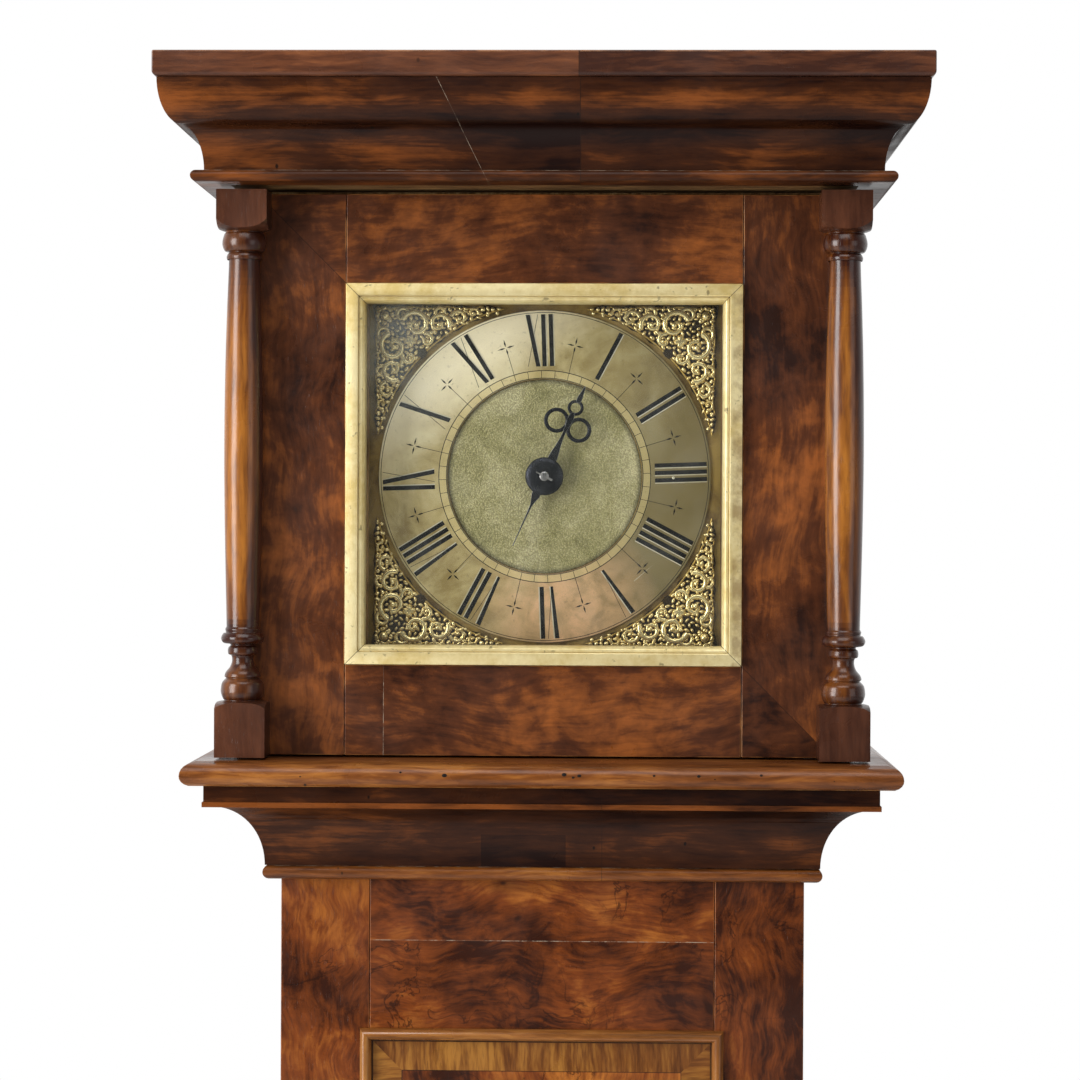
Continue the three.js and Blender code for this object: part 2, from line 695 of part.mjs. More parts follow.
function makeHoodDoor() {
  const back = doorFace + hoodDoorThickness;
  const opening = { low: glassCentre - glazingHalfHeight, high: glassCentre + glazingHalfHeight };
  for (const [name, s] of [['left', -1], ['right', 1]]) {
    const x = [s * glazingHalfWidth, s * hoodHalf].sort((a, b) => a - b);
    add(`hood_door_stile_${name}`, board(...x, doorFace, back, doorFoot, doorHead), walnutVeneer);
  }
  const rail = glazingHalfWidth - fit;
  const low = board(-rail, rail, doorFace, back, doorFoot, opening.low);
  const high = board(-rail, rail, doorFace, back, opening.high, doorHead);
  add('hood_door_bottom_rail', low, walnutVeneer);
  add('hood_door_top_rail', high, walnutVeneer);

  // The bezel stands in the doorway and holds the glass in a rebate at its back.
  const barBack = doorFace - bezelProud + bezelDepth;
  const front = doorFace - bezelProud;
  const rebate = glassRebate / bezelWidth;
  const glassFront = barBack - glassThickness - fit;
  const bezelShares = [
    [0, barBack], [0, front + bezelProud * 0.45], [0.06, front + bezelProud * 0.3],
    [0.5, front + bezelProud * 0.3], [0.53, front + bezelProud * 0.75],
    [0.6, front + bezelProud * 0.75], [0.64, front + bezelProud * 0.12], [0.72, front],
    [0.82, front + bezelProud * 0.1], [0.93, front + bezelProud * 0.5],
    [1, front + bezelProud * 1.2], [1, glassFront - fit], [1 - rebate, glassFront - fit],
    [1 - rebate, barBack],
  ];
  const bars = frame(
    bezelShares, glazingHalfWidth - fit, glazingHalfHeight - fit, bezelWidth, bezelHeight, glassCentre,
  );
  add('glazing_bezel', bars, gilt);

  const glassHalfWidth = glazingHalfWidth - 2 * fit - bezelWidth + glassRebate;
  const rebateHeight = (glassRebate * bezelHeight) / bezelWidth;
  const glassHalfHeight = glazingHalfHeight - 2 * fit - bezelHeight + rebateHeight;
  const pane = board(
    -glassHalfWidth, glassHalfWidth, glassFront, barBack - fit,
    glassCentre - glassHalfHeight, glassCentre + glassHalfHeight,
  );
  add('hood_door_glass', pane, clearGlass);

  const half = columnWidth / 2;
  const height = doorHead - doorFoot;
  const centre = hoodHalf + columnOutside - half;
  const columnFront = doorFace - columnProud;
  const points = turnedShares.map(([r, h]) => [r * half, doorFoot + h * height]);
  const turned = [[0, doorFoot], ...points, [0, doorHead]];
  for (const [name, x] of [['left', -centre], ['right', centre]]) {
    const blank = board(x - half, x + half, columnFront, doorFace - fit, doorFoot, doorHead);
    const spindle = turnedUp(turned, x, columnFront + half, 20);
    add(`hood_column_${name}`, common(blank, spindle), walnutColumn);
  }
}

// Dial: plate with four feet, chapter ring and corner castings

function makeDial() {
  const half = dialSize / 2;
  const face = outline([
    [-half, dialCentre - half], [half, dialCentre - half],
    [half, dialCentre + half], [-half, dialCentre + half],
  ]);
  face.holes.push(circle(0, dialCentre, dialHole));
  const frontPlateFace = frontPlateBack - plateThickness;
  const feet = [-1, 1].flatMap((sx) => [-1, 1].map((sz) => rodBack(
    dialFootRadius, dialBack - overrun, frontPlateFace - fit,
    sx * dialFootSpread, dialCentre + sz * dialFootHeight, 12,
  )));
  add('dial_plate', join(upright(face, dialFace, dialBack), ...feet), brass);

  const chapter = circle(0, dialCentre, ringOuter, 60);
  chapter.holes.push(circle(0, dialCentre, ringInner, 60));
  const ringBack = dialFace - fit;
  add('chapter_ring', upright(chapter, ringBack - ringThickness, ringBack), silvered);

  // A casting follows the ring inside and the dial's edge outside. Both its edges are lobed.
  const edge = half - spandrelMargin;
  const outerShares = [
    [0, 0.02], [0.02, 0], [0.1, 0.012], [0.17, 0.035], [0.27, 0.01], [0.36, 0.04],
    [0.48, 0.012], [0.58, 0.04], [0.7, 0.015], [0.8, 0.04], [0.92, 0.015], [1, 0.04],
  ];
  const along = outerShares.slice(1)
    .map(([a, b]) => [edge - a * spandrelLength, edge - b * spandrelLength]);
  const down = [...along].reverse().map(([a, b]) => [b, a]);
  const inside = ringOuter + spandrelGap;
  const start = THREE.MathUtils.radToDeg(Math.acos((edge - spandrelLength) / inside));
  const lobes = 16;
  const inner = [];
  for (let i = 0; i <= lobes; i += 1) {
    const at = start + ((90 - 2 * start) * i) / lobes;
    inner.push(polar([0, 0], inside + (i % 2) * spandrelLobe, at));
  }
  for (const [name, sx, sz] of [
    ['top_left', -1, 1], ['top_right', 1, 1], ['bottom_left', -1, -1], ['bottom_right', 1, -1],
  ]) {
    const corner = [...along, ...inner, ...down].map(([a, b]) => [sx * a, dialCentre + sz * b]);
    const cast = upright(outline(corner), ringBack - spandrelThickness, ringBack);
    add(`spandrel_${name}`, cast, brass);
  }
}

// Movement: arbor places, worked out from the tooth counts

const meshDistance = (module, first, second) => (module * (first + second)) / 2 + meshGap;
const hourPlace = [0, dialCentre];
const greatPlace = polar(hourPlace, meshDistance(hourModule, hourTeeth, reportLeaves), greatAngle);
const secondPlace = polar(greatPlace, meshDistance(greatModule, greatTeeth, pinionLeaves), secondAngle);
const escapePlace = polar(
  secondPlace, meshDistance(secondModule, secondTeeth, pinionLeaves), escapeAngle,
);
const palletPlace = polar(escapePlace, palletDistance, 90);
const hammerPlace = [-hammerOffset, plateFoot + plateHeight - hammerBelowTop];
const cordRadius = sprocketGroove + fit + chainRadius;
const chainY = frontPlateBack + sprocketBehindPlate;
const pendulumY = backPlateFront + pendulumBehindPlate;

// Straight-sided teeth. The first tooth points at phase, in degrees.
function toothed(teeth, module, phase, [x, z], tipShare = 0.09, rootShare = 0.2) {
  const pitch = 360 / teeth;
  const tip = module * (teeth / 2 + 0.85);
  const root = module * (teeth / 2 - 1.3);
  const points = [];
  for (let i = 0; i < teeth; i += 1) {
    const at = phase + i * pitch;
    points.push(polar([x, z], root, at - rootShare * pitch), polar([x, z], tip, at - tipShare * pitch));
    points.push(polar([x, z], tip, at + tipShare * pitch), polar([x, z], root, at + rootShare * pitch));
  }
  return outline(points);
}

// The phase at which a wheel of so many teeth meshes with its neighbour at the given angle.
function meshed(angle, phase, teeth, otherTeeth) {
  const along = (angle - phase) / (360 / teeth);
  return angle + 180 - (360 / otherTeeth) * (0.5 - along);
}

// Cuts the gaps between a wheel's four arms.
function crossed(shape, [x, z], inner, outer) {
  for (let i = 0; i < 4; i += 1) {
    const rim = arc(x, z, outer, outer, i * 90 + 10, i * 90 + 80, 6);
    const hub = arc(x, z, inner, inner, i * 90 + 66, i * 90 + 24, 4);
    shape.holes.push(outline([...rim, ...hub]));
  }
  return shape;
}

function arbor(stages, [x, z], sides = 12) {
  return turnedBack([[0, stages[0][1]], ...stages, [0, stages[stages.length - 1][1]]], x, z, sides);
}

const greatPhase = 0;
const reportPhase = 0;
const hourPhase = meshed(greatAngle + 180, reportPhase, reportLeaves, hourTeeth);
const secondPinionPhase = meshed(secondAngle, greatPhase, greatTeeth, pinionLeaves);
const secondPhase = 0;
const escapePinionPhase = meshed(escapeAngle, secondPhase, secondTeeth, pinionLeaves);

function makeMovementFrame() {
  const foot = plateFoot;
  const top = foot + plateHeight;
  const corners = [-1, 1].flatMap((s) => [[s, foot + pillarInset], [s, top - pillarInset]]);
  const pivots = [greatPlace, secondPlace, escapePlace, palletPlace, hammerPlace];
  const plate = () => outline([
    [-plateHalf, foot], [plateHalf, foot], [plateHalf, top], [-plateHalf, top],
  ]);
  const front = plate();
  const back = plate();
  for (const place of pivots) {
    const passes = place === palletPlace;
    front.holes.push(circle(...place, (place === greatPlace ? arborRadius : pivotRadius) + pivotGap, 12));
    back.holes.push(circle(...place, (passes ? arborRadius : pivotRadius) + pivotGap, 12));
  }
  const frontFace = frontPlateBack - plateThickness;
  const post = rodBack(postRadius, dialFace + fit, frontFace + overrun, ...hourPlace, 16);
  add('movement_front_plate', join(upright(front, frontFace, frontPlateBack), post), brass);

  // The four pillars are riveted into the back plate.
  const y0 = frontPlateBack + fit;
  const y1 = backPlateFront + plateThickness / 2;
  const length = y1 - y0;
  const pillars = corners.map(([s, z]) => arbor([
    [pillarRadius, y0], [pillarRadius, y0 + length * 0.08], [pillarWaist, y0 + length * 0.14],
    [pillarWaist, y0 + length * 0.4], [pillarRadius, y0 + length * 0.5],
    [pillarWaist, y0 + length * 0.6], [pillarWaist, y0 + length * 0.86],
    [pillarRadius, y0 + length * 0.92], [pillarRadius, y1],
  ], [s * (plateHalf - pillarInset), z]));
  const backPlate = upright(back, backPlateFront, backPlateFront + plateThickness);
  add('movement_back_plate', join(backPlate, ...pillars), brass);
}

function makeTrain() {
  const y0 = frontPlateBack - plateThickness;
  const inFront = frontPlateBack + fit;
  const inBack = backPlateFront - fit;
  const outBack = backPlateFront + plateThickness - fit;

  // Great wheel with its chain sprocket, and in front of the plate the pinion of report.
  const greatY = frontPlateBack + greatBehindPlate;
  const hourBack = dialBack + hourBehindDial + wheelThickness;
  const hourFront = dialBack + hourBehindDial;
  const gearTip = greatModule * (greatTeeth / 2 - 4);
  const great = crossed(
    toothed(greatTeeth, greatModule, greatPhase, greatPlace), greatPlace, gearTip * 0.3, gearTip,
  );
  const hub = arborRadius * 3;
  const hubBack = greatY + wheelThickness + pinionLength / 2;
  const greatArbor = arbor([
    [arborRadius, hourFront - pivotGap], [arborRadius, greatY - pinionLength / 2],
    [hub, greatY - pinionLength / 2], [hub, hubBack], [arborRadius, hubBack],
    [arborRadius, inBack], [pivotRadius, inBack], [pivotRadius, outBack],
  ], greatPlace, 16);
  const report = toothed(reportLeaves, hourModule, reportPhase, greatPlace, 0.07, 0.16);
  const pinion = upright(report, hourFront - pivotGap, hourBack + pivotGap);
  add('great_wheel', join(greatArbor, upright(great, greatY, greatY + wheelThickness), pinion), brass);

  // The sprocket sits behind the great wheel, on the same arbor. Its groove takes the chain.
  const flange = sprocketGroove + sprocketFlange;
  const s0 = chainY - sprocketWidth / 2;
  const s1 = chainY + sprocketWidth / 2;
  const bore = arborRadius + fit;
  add('chain_sprocket', turnedBack([
    [bore, hubBack + fit], [hub, hubBack + fit], [hub, s0], [flange, s0],
    [flange, s0 + sprocketWidth * 0.12], [sprocketGroove, chainY - chainRadius * 0.9],
    [sprocketGroove, chainY + chainRadius * 0.9], [flange, s1 - sprocketWidth * 0.12],
    [flange, s1], [bore, s1], [bore, hubBack + fit],
  ], ...greatPlace, 24), brass);

  const leaves = greatY + wheelThickness / 2;
  const secondY = frontPlateBack + secondBehindPlate;
  const secondTip = secondModule * (secondTeeth / 2 - 4);
  const second = crossed(
    toothed(secondTeeth, secondModule, secondPhase, secondPlace), secondPlace, secondTip * 0.3, secondTip,
  );
  const secondPinion = toothed(pinionLeaves, greatModule, secondPinionPhase, secondPlace, 0.07, 0.17);
  const staff = (place) => arbor([
    [pivotRadius, y0 + fit], [pivotRadius, inFront], [arborRadius, inFront],
    [arborRadius, inBack], [pivotRadius, inBack], [pivotRadius, outBack],
  ], place);
  add('second_wheel', join(
    staff(secondPlace), upright(second, secondY, secondY + wheelThickness),
    upright(secondPinion, leaves - pinionLength / 2, leaves + pinionLength / 2),
  ), brass);

  const escapeY = frontPlateBack + escapeBehindPlate;
  const escapePinion = toothed(pinionLeaves, secondModule, escapePinionPhase, escapePlace, 0.07, 0.17);
  const escapeLeaves = secondY + wheelThickness / 2;
  const points = [];
  for (let i = 0; i < escapeTeeth; i += 1) {
    const at = (i * 360) / escapeTeeth;
    points.push(polar(escapePlace, escapeRadius * 0.84, at - 4.6));
    points.push(polar(escapePlace, escapeRadius, at));
    points.push(polar(escapePlace, escapeRadius * 0.84, at + 1.6));
  }
  const escape = crossed(outline(points), escapePlace, escapeRadius * 0.28, escapeRadius * 0.7);
  add('escape_wheel', join(
    staff(escapePlace), upright(escape, escapeY, escapeY + escapeThickness),
    upright(escapePinion, escapeLeaves - pinionLength / 2, escapeLeaves + pinionLength / 2),
  ), brass);

  // The hour wheel turns on a post and carries the hand on the end of its pipe.
  const handBack = dialFace - handAboveDial;
  const hour = toothed(hourTeeth, hourModule, hourPhase, hourPlace);
  hour.holes.push(circle(...hourPlace, pipeBore + fit, 16));
  const tipFront = handBack - handThickness - handBossRise - fit;
  const pipe = turnedBack([
    [pipeBore, hourBack], [pipeRadius, hourBack], [pipeRadius, handBack + fit],
    [pipeTip, handBack + fit], [pipeTip, tipFront], [0, tipFront], [0, dialFace - fit],
    [pipeBore, dialFace - fit], [pipeBore, hourBack],
  ], ...hourPlace, 16);
  add('hour_wheel', join(upright(hour, hourFront, hourBack), pipe), brass);
}

// Anchor with its arbor and crutch, clear of the escape wheel at the ends of its swing
function makeAnchor() {
  const y = frontPlateBack + escapeBehindPlate;
  const inner = escapeRadius + anchorGap;
  const outer = inner + anchorArm;
  const bow = arc(...escapePlace, outer, outer, 90 - anchorSpan, 90 + anchorSpan, 10);
  const hollow = arc(...escapePlace, inner, inner, 90 + anchorSpan, 90 - anchorSpan, 10);
  const arms = upright(outline([...bow, ...hollow]), y - fit, y + escapeThickness + fit);
  const [x, z] = palletPlace;
  const backFaceOfPlate = backPlateFront + plateThickness;
  const crutchY = backFaceOfPlate + crutchBehindPlate;
  const staff = arbor([
    [pivotRadius, frontPlateBack - plateThickness + fit], [pivotRadius, frontPlateBack + fit],
    [arborRadius, frontPlateBack + fit], [arborRadius, backFaceOfPlate + cockStandoff - fit],
  ], palletPlace);
  const hub = rodBack(arborRadius * 2.2, y - fit, y + escapeThickness + fit, x, z, 12);
  const half = crutchBar / 2;
  const foot = z - crutchLength;
  const bar = board(x - half, x + half, crutchY, crutchY + crutchBar, foot, z + half);
  const prongInner = rodRadius + fit;
  const prongs = [-1, 1].map((s) => board(
    x + Math.min(s * prongInner, s * (prongInner + half)),
    x + Math.max(s * prongInner, s * (prongInner + half)),
    crutchY, pendulumY + rodRadius, foot, foot + crutchBar,
  ));
  const yoke = board(
    x - prongInner - half, x + prongInner + half, crutchY, crutchY + crutchBar, foot, foot + crutchBar,
  );
  add('anchor', join(arms, hub, staff, bar, yoke, ...prongs), steel);
}

// The back cock bridges the anchor's arbor and holds the pendulum's suspension.
function makeBackCock() {
  const [x, z] = palletPlace;
  const y = backPlateFront + plateThickness + fit;
  const barY = backPlateFront + plateThickness + cockStandoff;
  const low = z - cockHeight / 2;
  const high = z + cockHeight / 2;
  const legs = [-1, 1].map((s) => board(
    x + Math.min(s * cockHalf, s * (cockHalf - cockLeg)),
    x + Math.max(s * cockHalf, s * (cockHalf - cockLeg)),
    y, barY + cockBar, low, high,
  ));
  const bar = board(x - cockHalf, x + cockHalf, barY, barY + cockBar, low, high);
  const neck = board(
    x - cockNeck, x + cockNeck, barY, pendulumY + springHalf, z + cockHeight / 4, high,
  );
  const lug = board(
    x - cockNeck / 2, x + cockNeck / 2, pendulumY - springHalf, pendulumY + springHalf, z + fit, high,
  );
  add('back_cock', join(...legs, bar, neck, lug), brass);
}

function makePendulum() {
  const [x, z] = palletPlace;
  const bobZ = z - pendulumLength;
  const nutTop = bobZ - bobRadius - fit;
  const spring = board(
    x - rodRadius / 2, x + rodRadius / 2, pendulumY - springHalf, pendulumY + springHalf,
    z - springLength, z,
  );
  const nutFoot = nutTop - ratingNutHeight;
  const rod = rodUp(rodRadius, nutFoot - rodBelowNut, z - springLength + overrun, x, pendulumY, 12);
  add('pendulum_rod', join(rod, spring), steel);

  const thread = rodRadius + fit;
  const bevel = ratingNutHeight / 6;
  add('rating_nut', turnedUp([
    [thread, nutFoot], [ratingNutRadius - bevel, nutFoot], [ratingNutRadius, nutFoot + bevel],
    [ratingNutRadius, nutTop - bevel], [ratingNutRadius - bevel, nutTop], [thread, nutTop],
    [thread, nutFoot],
  ], x, pendulumY, 16), brass);

  const lens = [
    ...arc(0, pendulumY, bobRadius, bobThickness / 2, -90, 90, 10),
  ];
  lens[0][0] = 0;
  lens[lens.length - 1][0] = 0;
  const bob = turnedBack(lens, x, bobZ, 32);
  const reach = bobRadius + overrun;
  const bore = rodUp(rodRadius + fit, bobZ - reach, bobZ + reach, x, pendulumY, 12);
  add('pendulum_bob', cut(bob, bore), brass);
}

// The hand lies in front of the dial. Its outline is drawn pointing up and then turned.
function makeHand() {
  const back = dialFace - handAboveDial;
  const front = back - handThickness;
  const stemShares = [[0.05, 0.15], [0.047, 0.24], [0.028, 0.34], [0.016, 0.46], [0.03, 0.6], [0.022, 0.7]];
  const tipShares = [[0.014, 0.83], [0.036, 0.86], [0.03, 0.89], [0, 1]];
  const tailShares = [[0.05, 0.22], [0.04, 0.38], [0.02, 0.5], [0.008, 1]];
  const blade = (shares, length) => {
    const right = shares.map(([w, l]) => [w * handLength, l * length]);
    const left = right.filter(([w]) => w > 0).reverse().map(([w, l]) => [-w, l]);
    return upright(outline([...right, ...left]), front, back);
  };
  const ring = (x, z, outside, inside) => {
    const shape = circle(x * handLength, z * handLength, outside * handLength, 20);
    shape.holes.push(circle(x * handLength, z * handLength, inside * handLength, 20));
    return upright(shape, front, back);
  };
  const loopShares = [[-0.123, 0.567, 0.125, 0.1], [0.123, 0.567, 0.125, 0.1], [0, 0.766, 0.081, 0.062]];
  const flat = join(
    blade(stemShares, handLength), blade(tipShares, handLength), blade(tailShares, -tailLength),
    ...loopShares.map((shares) => ring(...shares)), rodBack(handBoss, front, back, 0, 0, 28),
  ).rotateY(THREE.MathUtils.degToRad(handAngle)).translate(0, 0, dialCentre);
  const dome = arc(0, front, handBoss, handBossRise, 0, -90, 5);
  dome[dome.length - 1][0] = 0;
  const boss = turnedBack([[0, back], [handBoss, back], ...dome], 0, dialCentre, 28);
  const eye = rodBack(pipeTip + fit, front - handBossRise - overrun, back + overrun, 0, dialCentre, 16);
  add('hour_hand', cut(join(flat, boss), eye), darkSteel);
}

// Chain over the sprocket, with the weight on one end and a small counterweight on the other

function makeDrive() {
  const [x, z] = greatPlace;
  const weightX = x - cordRadius;
  const counterX = x + cordRadius;
  const hookTop = z - weightDrop;
  const counterTop = z - counterDrop;
  const section = arc(0, 0, chainRadius, chainRadius, 0, 315, 7);
  const steps = 14;
  const stations = [];
  for (let i = 0; i <= steps; i += 1) {
    const degrees = 180 - (i * 180) / steps;
    stations.push(([out, deep]) => {
      const [px, pz] = polar([x, z], cordRadius + out, degrees);
      return [px, chainY + deep, pz];
    });
  }
  add('sprocket_chain', loft(section, stations), steel);
  const link = (top, foot, px) => rodUp(chainRadius, foot, top, px, chainY, 8);
  add('weight_chain', link(z - fit, hookTop + fit, weightX), steel);
  add('counterweight_chain', link(z - fit, counterTop + fit, counterX), steel);

  const shoulder = hookTop - weightHookHeight;
  const foot = shoulder - weightHeight;
  const weight = turnedUp([
    [0, foot], [weightRadius - chainRadius, foot], [weightRadius, foot + chainRadius],
    [weightRadius, shoulder - weightRadius / 3], [weightRadius * 0.75, shoulder - weightRadius / 12],
    [chainRadius * 2.5, shoulder], [chainRadius * 1.5, shoulder + weightHookHeight / 3],
    [chainRadius * 2.5, shoulder + (weightHookHeight * 2) / 3], [chainRadius * 1.5, hookTop], [0, hookTop],
  ], weightX, chainY, 28);
  add('weight', weight, iron);

  const counter = turnedUp([
    [0, counterTop - counterHeight], [counterRadius * 0.7, counterTop - counterHeight],
    [counterRadius, counterTop - counterHeight * 0.8], [counterRadius, counterTop - counterHeight * 0.45],
    [counterRadius * 0.35, counterTop - counterHeight * 0.2], [counterRadius * 0.3, counterTop],
    [0, counterTop],
  ], counterX, chainY, 16);
  add('counterweight', counter, iron);
}

function makeSeatboard() {
  const y0 = trunkFace + seatboardFront;
  const shape = outline([
    [-trunkHalf + fit, y0], [trunkHalf - fit, y0],
    [trunkHalf - fit, y0 + seatboardDepth], [-trunkHalf + fit, y0 + seatboardDepth],
  ]);
  shape.holes.push(circle(greatPlace[0] - cordRadius, chainY, chainHole, 16));
  shape.holes.push(circle(greatPlace[0] + cordRadius, chainY, chainHole, 16));
  add('seatboard', level(shape, seatFoot, seatTop), oak);
}

// Bell over the movement, its stand on the back plate, and the hammer that strikes its rim

function makeStrike() {
  const top = plateFoot + plateHeight;
  const mouth = top + bellAbovePlates;
  const crown = mouth + bellHeight;
  const y = frontPlateBack + bellBehindPlate;
  const outer = [];
  const inner = [];
  for (let i = 0; i <= 7; i += 1) {
    const turn = (i / 7) * (Math.PI / 2);
    outer.push([bellRadius * Math.cos(turn), mouth + bellHeight * Math.sin(turn)]);
    inner.push([
      (bellRadius - bellWall) * Math.cos(turn), mouth + (bellHeight - bellWall) * Math.sin(turn),
    ]);
  }
  outer[7][0] = 0;
  inner[7][0] = 0;
  add('bell', turnedUp([...inner.reverse(), ...outer], 0, y, 28), brass);

  const stripFront = backPlateFront + plateThickness + fit;
  const armFoot = crown + standStrip * 3;
  const armTop = armFoot + standStrip;
  const post = board(
    -standOffset - standWidth / 2, -standOffset + standWidth / 2, stripFront, stripFront + standStrip,
    top - plateHeight / 5, armTop,
  );
  const across = board(
    -standOffset - standWidth / 2, standWidth / 2, stripFront - standWidth, stripFront + standStrip,
    armFoot, armTop,
  );
  const forward = board(-standWidth / 2, standWidth / 2, y - standWidth / 2, stripFront, armFoot, armTop);
  const stud = rodUp(arborRadius, crown + fit, armTop, 0, y, 12);
  add('bell_stand', join(post, across, forward, stud), iron);

  const [hx, hz] = hammerPlace;
  const headZ = hz + hammerReach;
  const lift = Math.sqrt(1 - ((headZ - mouth) / bellHeight) ** 2);
  const headTip = -bellRadius * lift - hammerGap;
  const head = rodBack(hammerHeadRadius, 0, hammerHeadLength, 0, 0, 14)
    .rotateZ(Math.PI / 2).translate(headTip, y, headZ);
  const shank = board(
    hx - arborRadius, hx + arborRadius, y - arborRadius, y + arborRadius, hz, headZ,
  );
  const tail = board(
    hx - arborRadius, hx + arborRadius * 6, y - arborRadius, y + arborRadius,
    hz - arborRadius, hz + arborRadius,
  );
  const staff = arbor([
    [pivotRadius, frontPlateBack - plateThickness + fit], [pivotRadius, frontPlateBack + fit],
    [arborRadius * 1.3, frontPlateBack + fit], [arborRadius * 1.3, backPlateFront - fit],
    [pivotRadius, backPlateFront - fit], [pivotRadius, backPlateFront + plateThickness - fit],
  ], hammerPlace);
  add('hammer', join(staff, shank, tail, head), steel);
}

makeBackboard();
makeTrunk();
makeThroatMoulding();
makeBase();
makeTrunkDoor();
makeHood();
makeHoodDoor();
makeDial();
makeMovementFrame();
makeTrain();
makeAnchor();
makeBackCock();
makePendulum();
makeHand();
makeDrive();
makeSeatboard();
makeStrike();

export default clock;
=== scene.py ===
"""Looks of a longcase clock in walnut, with a brass dial, a single hand and a thirty-hour movement.

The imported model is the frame. Every finished piece sits where the model says, in metres, and
rides on one of its bodies. X runs to the clock's right as seen from the front, Y to the wall, Z up.
"""

import logging
import math
from dataclasses import dataclass, field, replace
from enum import Enum
from typing import Callable, Iterable, Sequence

import bmesh
import bpy
from mathutils import Matrix, Vector
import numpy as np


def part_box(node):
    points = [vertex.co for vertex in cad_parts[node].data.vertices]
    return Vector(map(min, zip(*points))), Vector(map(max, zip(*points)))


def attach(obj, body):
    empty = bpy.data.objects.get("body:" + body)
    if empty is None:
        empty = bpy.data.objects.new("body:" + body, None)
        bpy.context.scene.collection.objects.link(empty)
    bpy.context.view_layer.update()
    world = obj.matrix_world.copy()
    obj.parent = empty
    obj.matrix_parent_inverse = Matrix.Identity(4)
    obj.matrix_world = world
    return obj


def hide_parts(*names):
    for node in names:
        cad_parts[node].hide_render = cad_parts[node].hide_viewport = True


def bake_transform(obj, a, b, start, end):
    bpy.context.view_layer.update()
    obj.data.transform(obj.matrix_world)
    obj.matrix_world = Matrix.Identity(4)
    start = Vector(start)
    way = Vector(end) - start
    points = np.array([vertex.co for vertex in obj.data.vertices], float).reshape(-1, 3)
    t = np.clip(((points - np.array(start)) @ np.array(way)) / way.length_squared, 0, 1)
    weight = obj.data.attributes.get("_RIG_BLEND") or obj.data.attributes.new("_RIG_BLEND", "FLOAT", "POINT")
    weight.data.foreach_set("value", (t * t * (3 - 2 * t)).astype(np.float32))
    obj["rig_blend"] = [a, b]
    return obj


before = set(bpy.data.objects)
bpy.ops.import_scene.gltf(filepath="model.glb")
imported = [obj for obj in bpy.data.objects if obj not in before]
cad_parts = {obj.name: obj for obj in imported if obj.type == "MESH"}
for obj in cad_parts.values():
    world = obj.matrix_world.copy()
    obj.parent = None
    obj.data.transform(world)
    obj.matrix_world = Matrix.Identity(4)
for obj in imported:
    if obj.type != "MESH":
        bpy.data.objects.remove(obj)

LOG = logging.getLogger("longcase_clock")

Pair = tuple[float, float]
Triple = tuple[float, float, float]
Quad = tuple[float, float, float, float]
Leaf = tuple[float, float, float, float, float]
Colour = Quad
Socket = bpy.types.NodeSocket
Face = bmesh.types.BMFace


class Body(Enum):
    """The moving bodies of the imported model."""

    CASE = "case"
    HOOD = "hood"
    HOOD_DOOR = "hood_door"
    TRUNK_DOOR = "trunk_door"
    HAND = "hand"
    PENDULUM = "pendulum"
    DRIVE_WEIGHT = "drive_weight"
    COUNTER_WEIGHT = "counter_weight"


class Slot(Enum):
    """The finishes that the record names."""

    VENEER = "walnut_veneer"
    MOULDING = "walnut_moulding"
    COLUMN = "walnut_column"
    OAK = "oak"
    GILT = "gilt"
    BRASS = "brass"
    SILVERED = "silvered"
    DARK_STEEL = "dark_steel"
    STEEL = "steel"
    IRON = "iron"


class Mark(Enum):
    """Values kept on the faces of a piece, which its finish reads."""

    # Rounded edges: worn on most finishes, painted shade on the chapter ring.
    WEAR_AND_EDGE_SHADE = "wear_and_edge_shade"
    JOINT = "joint"
    DUST = "dust"
    TURN = "turn"
    # Leaf tone, and painted light and shade on mouldings and columns.
    LIGHT = "light"


# The part of the plank that a face is cut from, kept on it as a vector.
SHIFT = "shift"
# Turn of a grain that runs level. Without a turn it stands upright.
ALONG = math.pi / 2
# The turn of a ball whose axes are those of the clock.
UNTURNED = Matrix.Identity(4)
# Points nearer than these are one, in a piece that is made and in one that is cut.
MERGED, CUT_MERGED = 1e-6, 1e-7
# Gap between two faces that are seated on each other.
SEAT = 0.0003
# A face looks along an axis where its normal reaches this far along it.
FACING = 0.9
# Edges that turn by less are flat, and those that turn by more are sharp.
FLAT_ANGLE, SHARP_ANGLE = math.radians(0.5), math.radians(50)
# The materials made so far, by their names.
LAID: dict[str, bpy.types.Material] = {}


def tint(code: str) -> Colour:
    """Turns a colour as on a colour card, in six hexadecimal digits, into the renderer's own."""
    levels = [int(code[i:i + 2], 16) / 255 for i in (0, 2, 4)]
    return (*(c / 12.92 if c <= 0.04045 else ((c + 0.055) / 1.055) ** 2.4 for c in levels), 1.0)


def arc(centre: Pair, radii: Pair, start: float, end: float, steps: int) -> list[Pair]:
    """Points on an elliptical arc between two angles in degrees, both ends included."""
    angles = [math.radians(start + (end - start) * i / steps) for i in range(steps + 1)]
    return [
        (centre[0] + radii[0] * math.cos(a), centre[1] + radii[1] * math.sin(a)) for a in angles
    ]


def flowing(points: Sequence[Pair], steps: int) -> list[Pair]:
    """Rounds a row of points into a flowing line through all of them.

    Args:
        points: The points that the line passes.
        steps: Number of straight parts between two of them.

    Returns:
        The finer row of points.
    """
    line: list[Pair] = []
    for i in range(len(points) - 1):
        before = Vector(points[max(i - 1, 0)])
        first, second = Vector(points[i]), Vector(points[i + 1])
        after = Vector(points[min(i + 2, len(points) - 1)])
        for k in range(steps):
            t = k / steps
            spot = 0.5 * (
                2 * first + (second - before) * t
                + (2 * before - 5 * first + 4 * second - after) * t * t
                + (3 * first - before - 3 * second + after) * t ** 3
            )
            line.append((spot.x, spot.y))
    line.append(tuple(points[-1]))
    return line


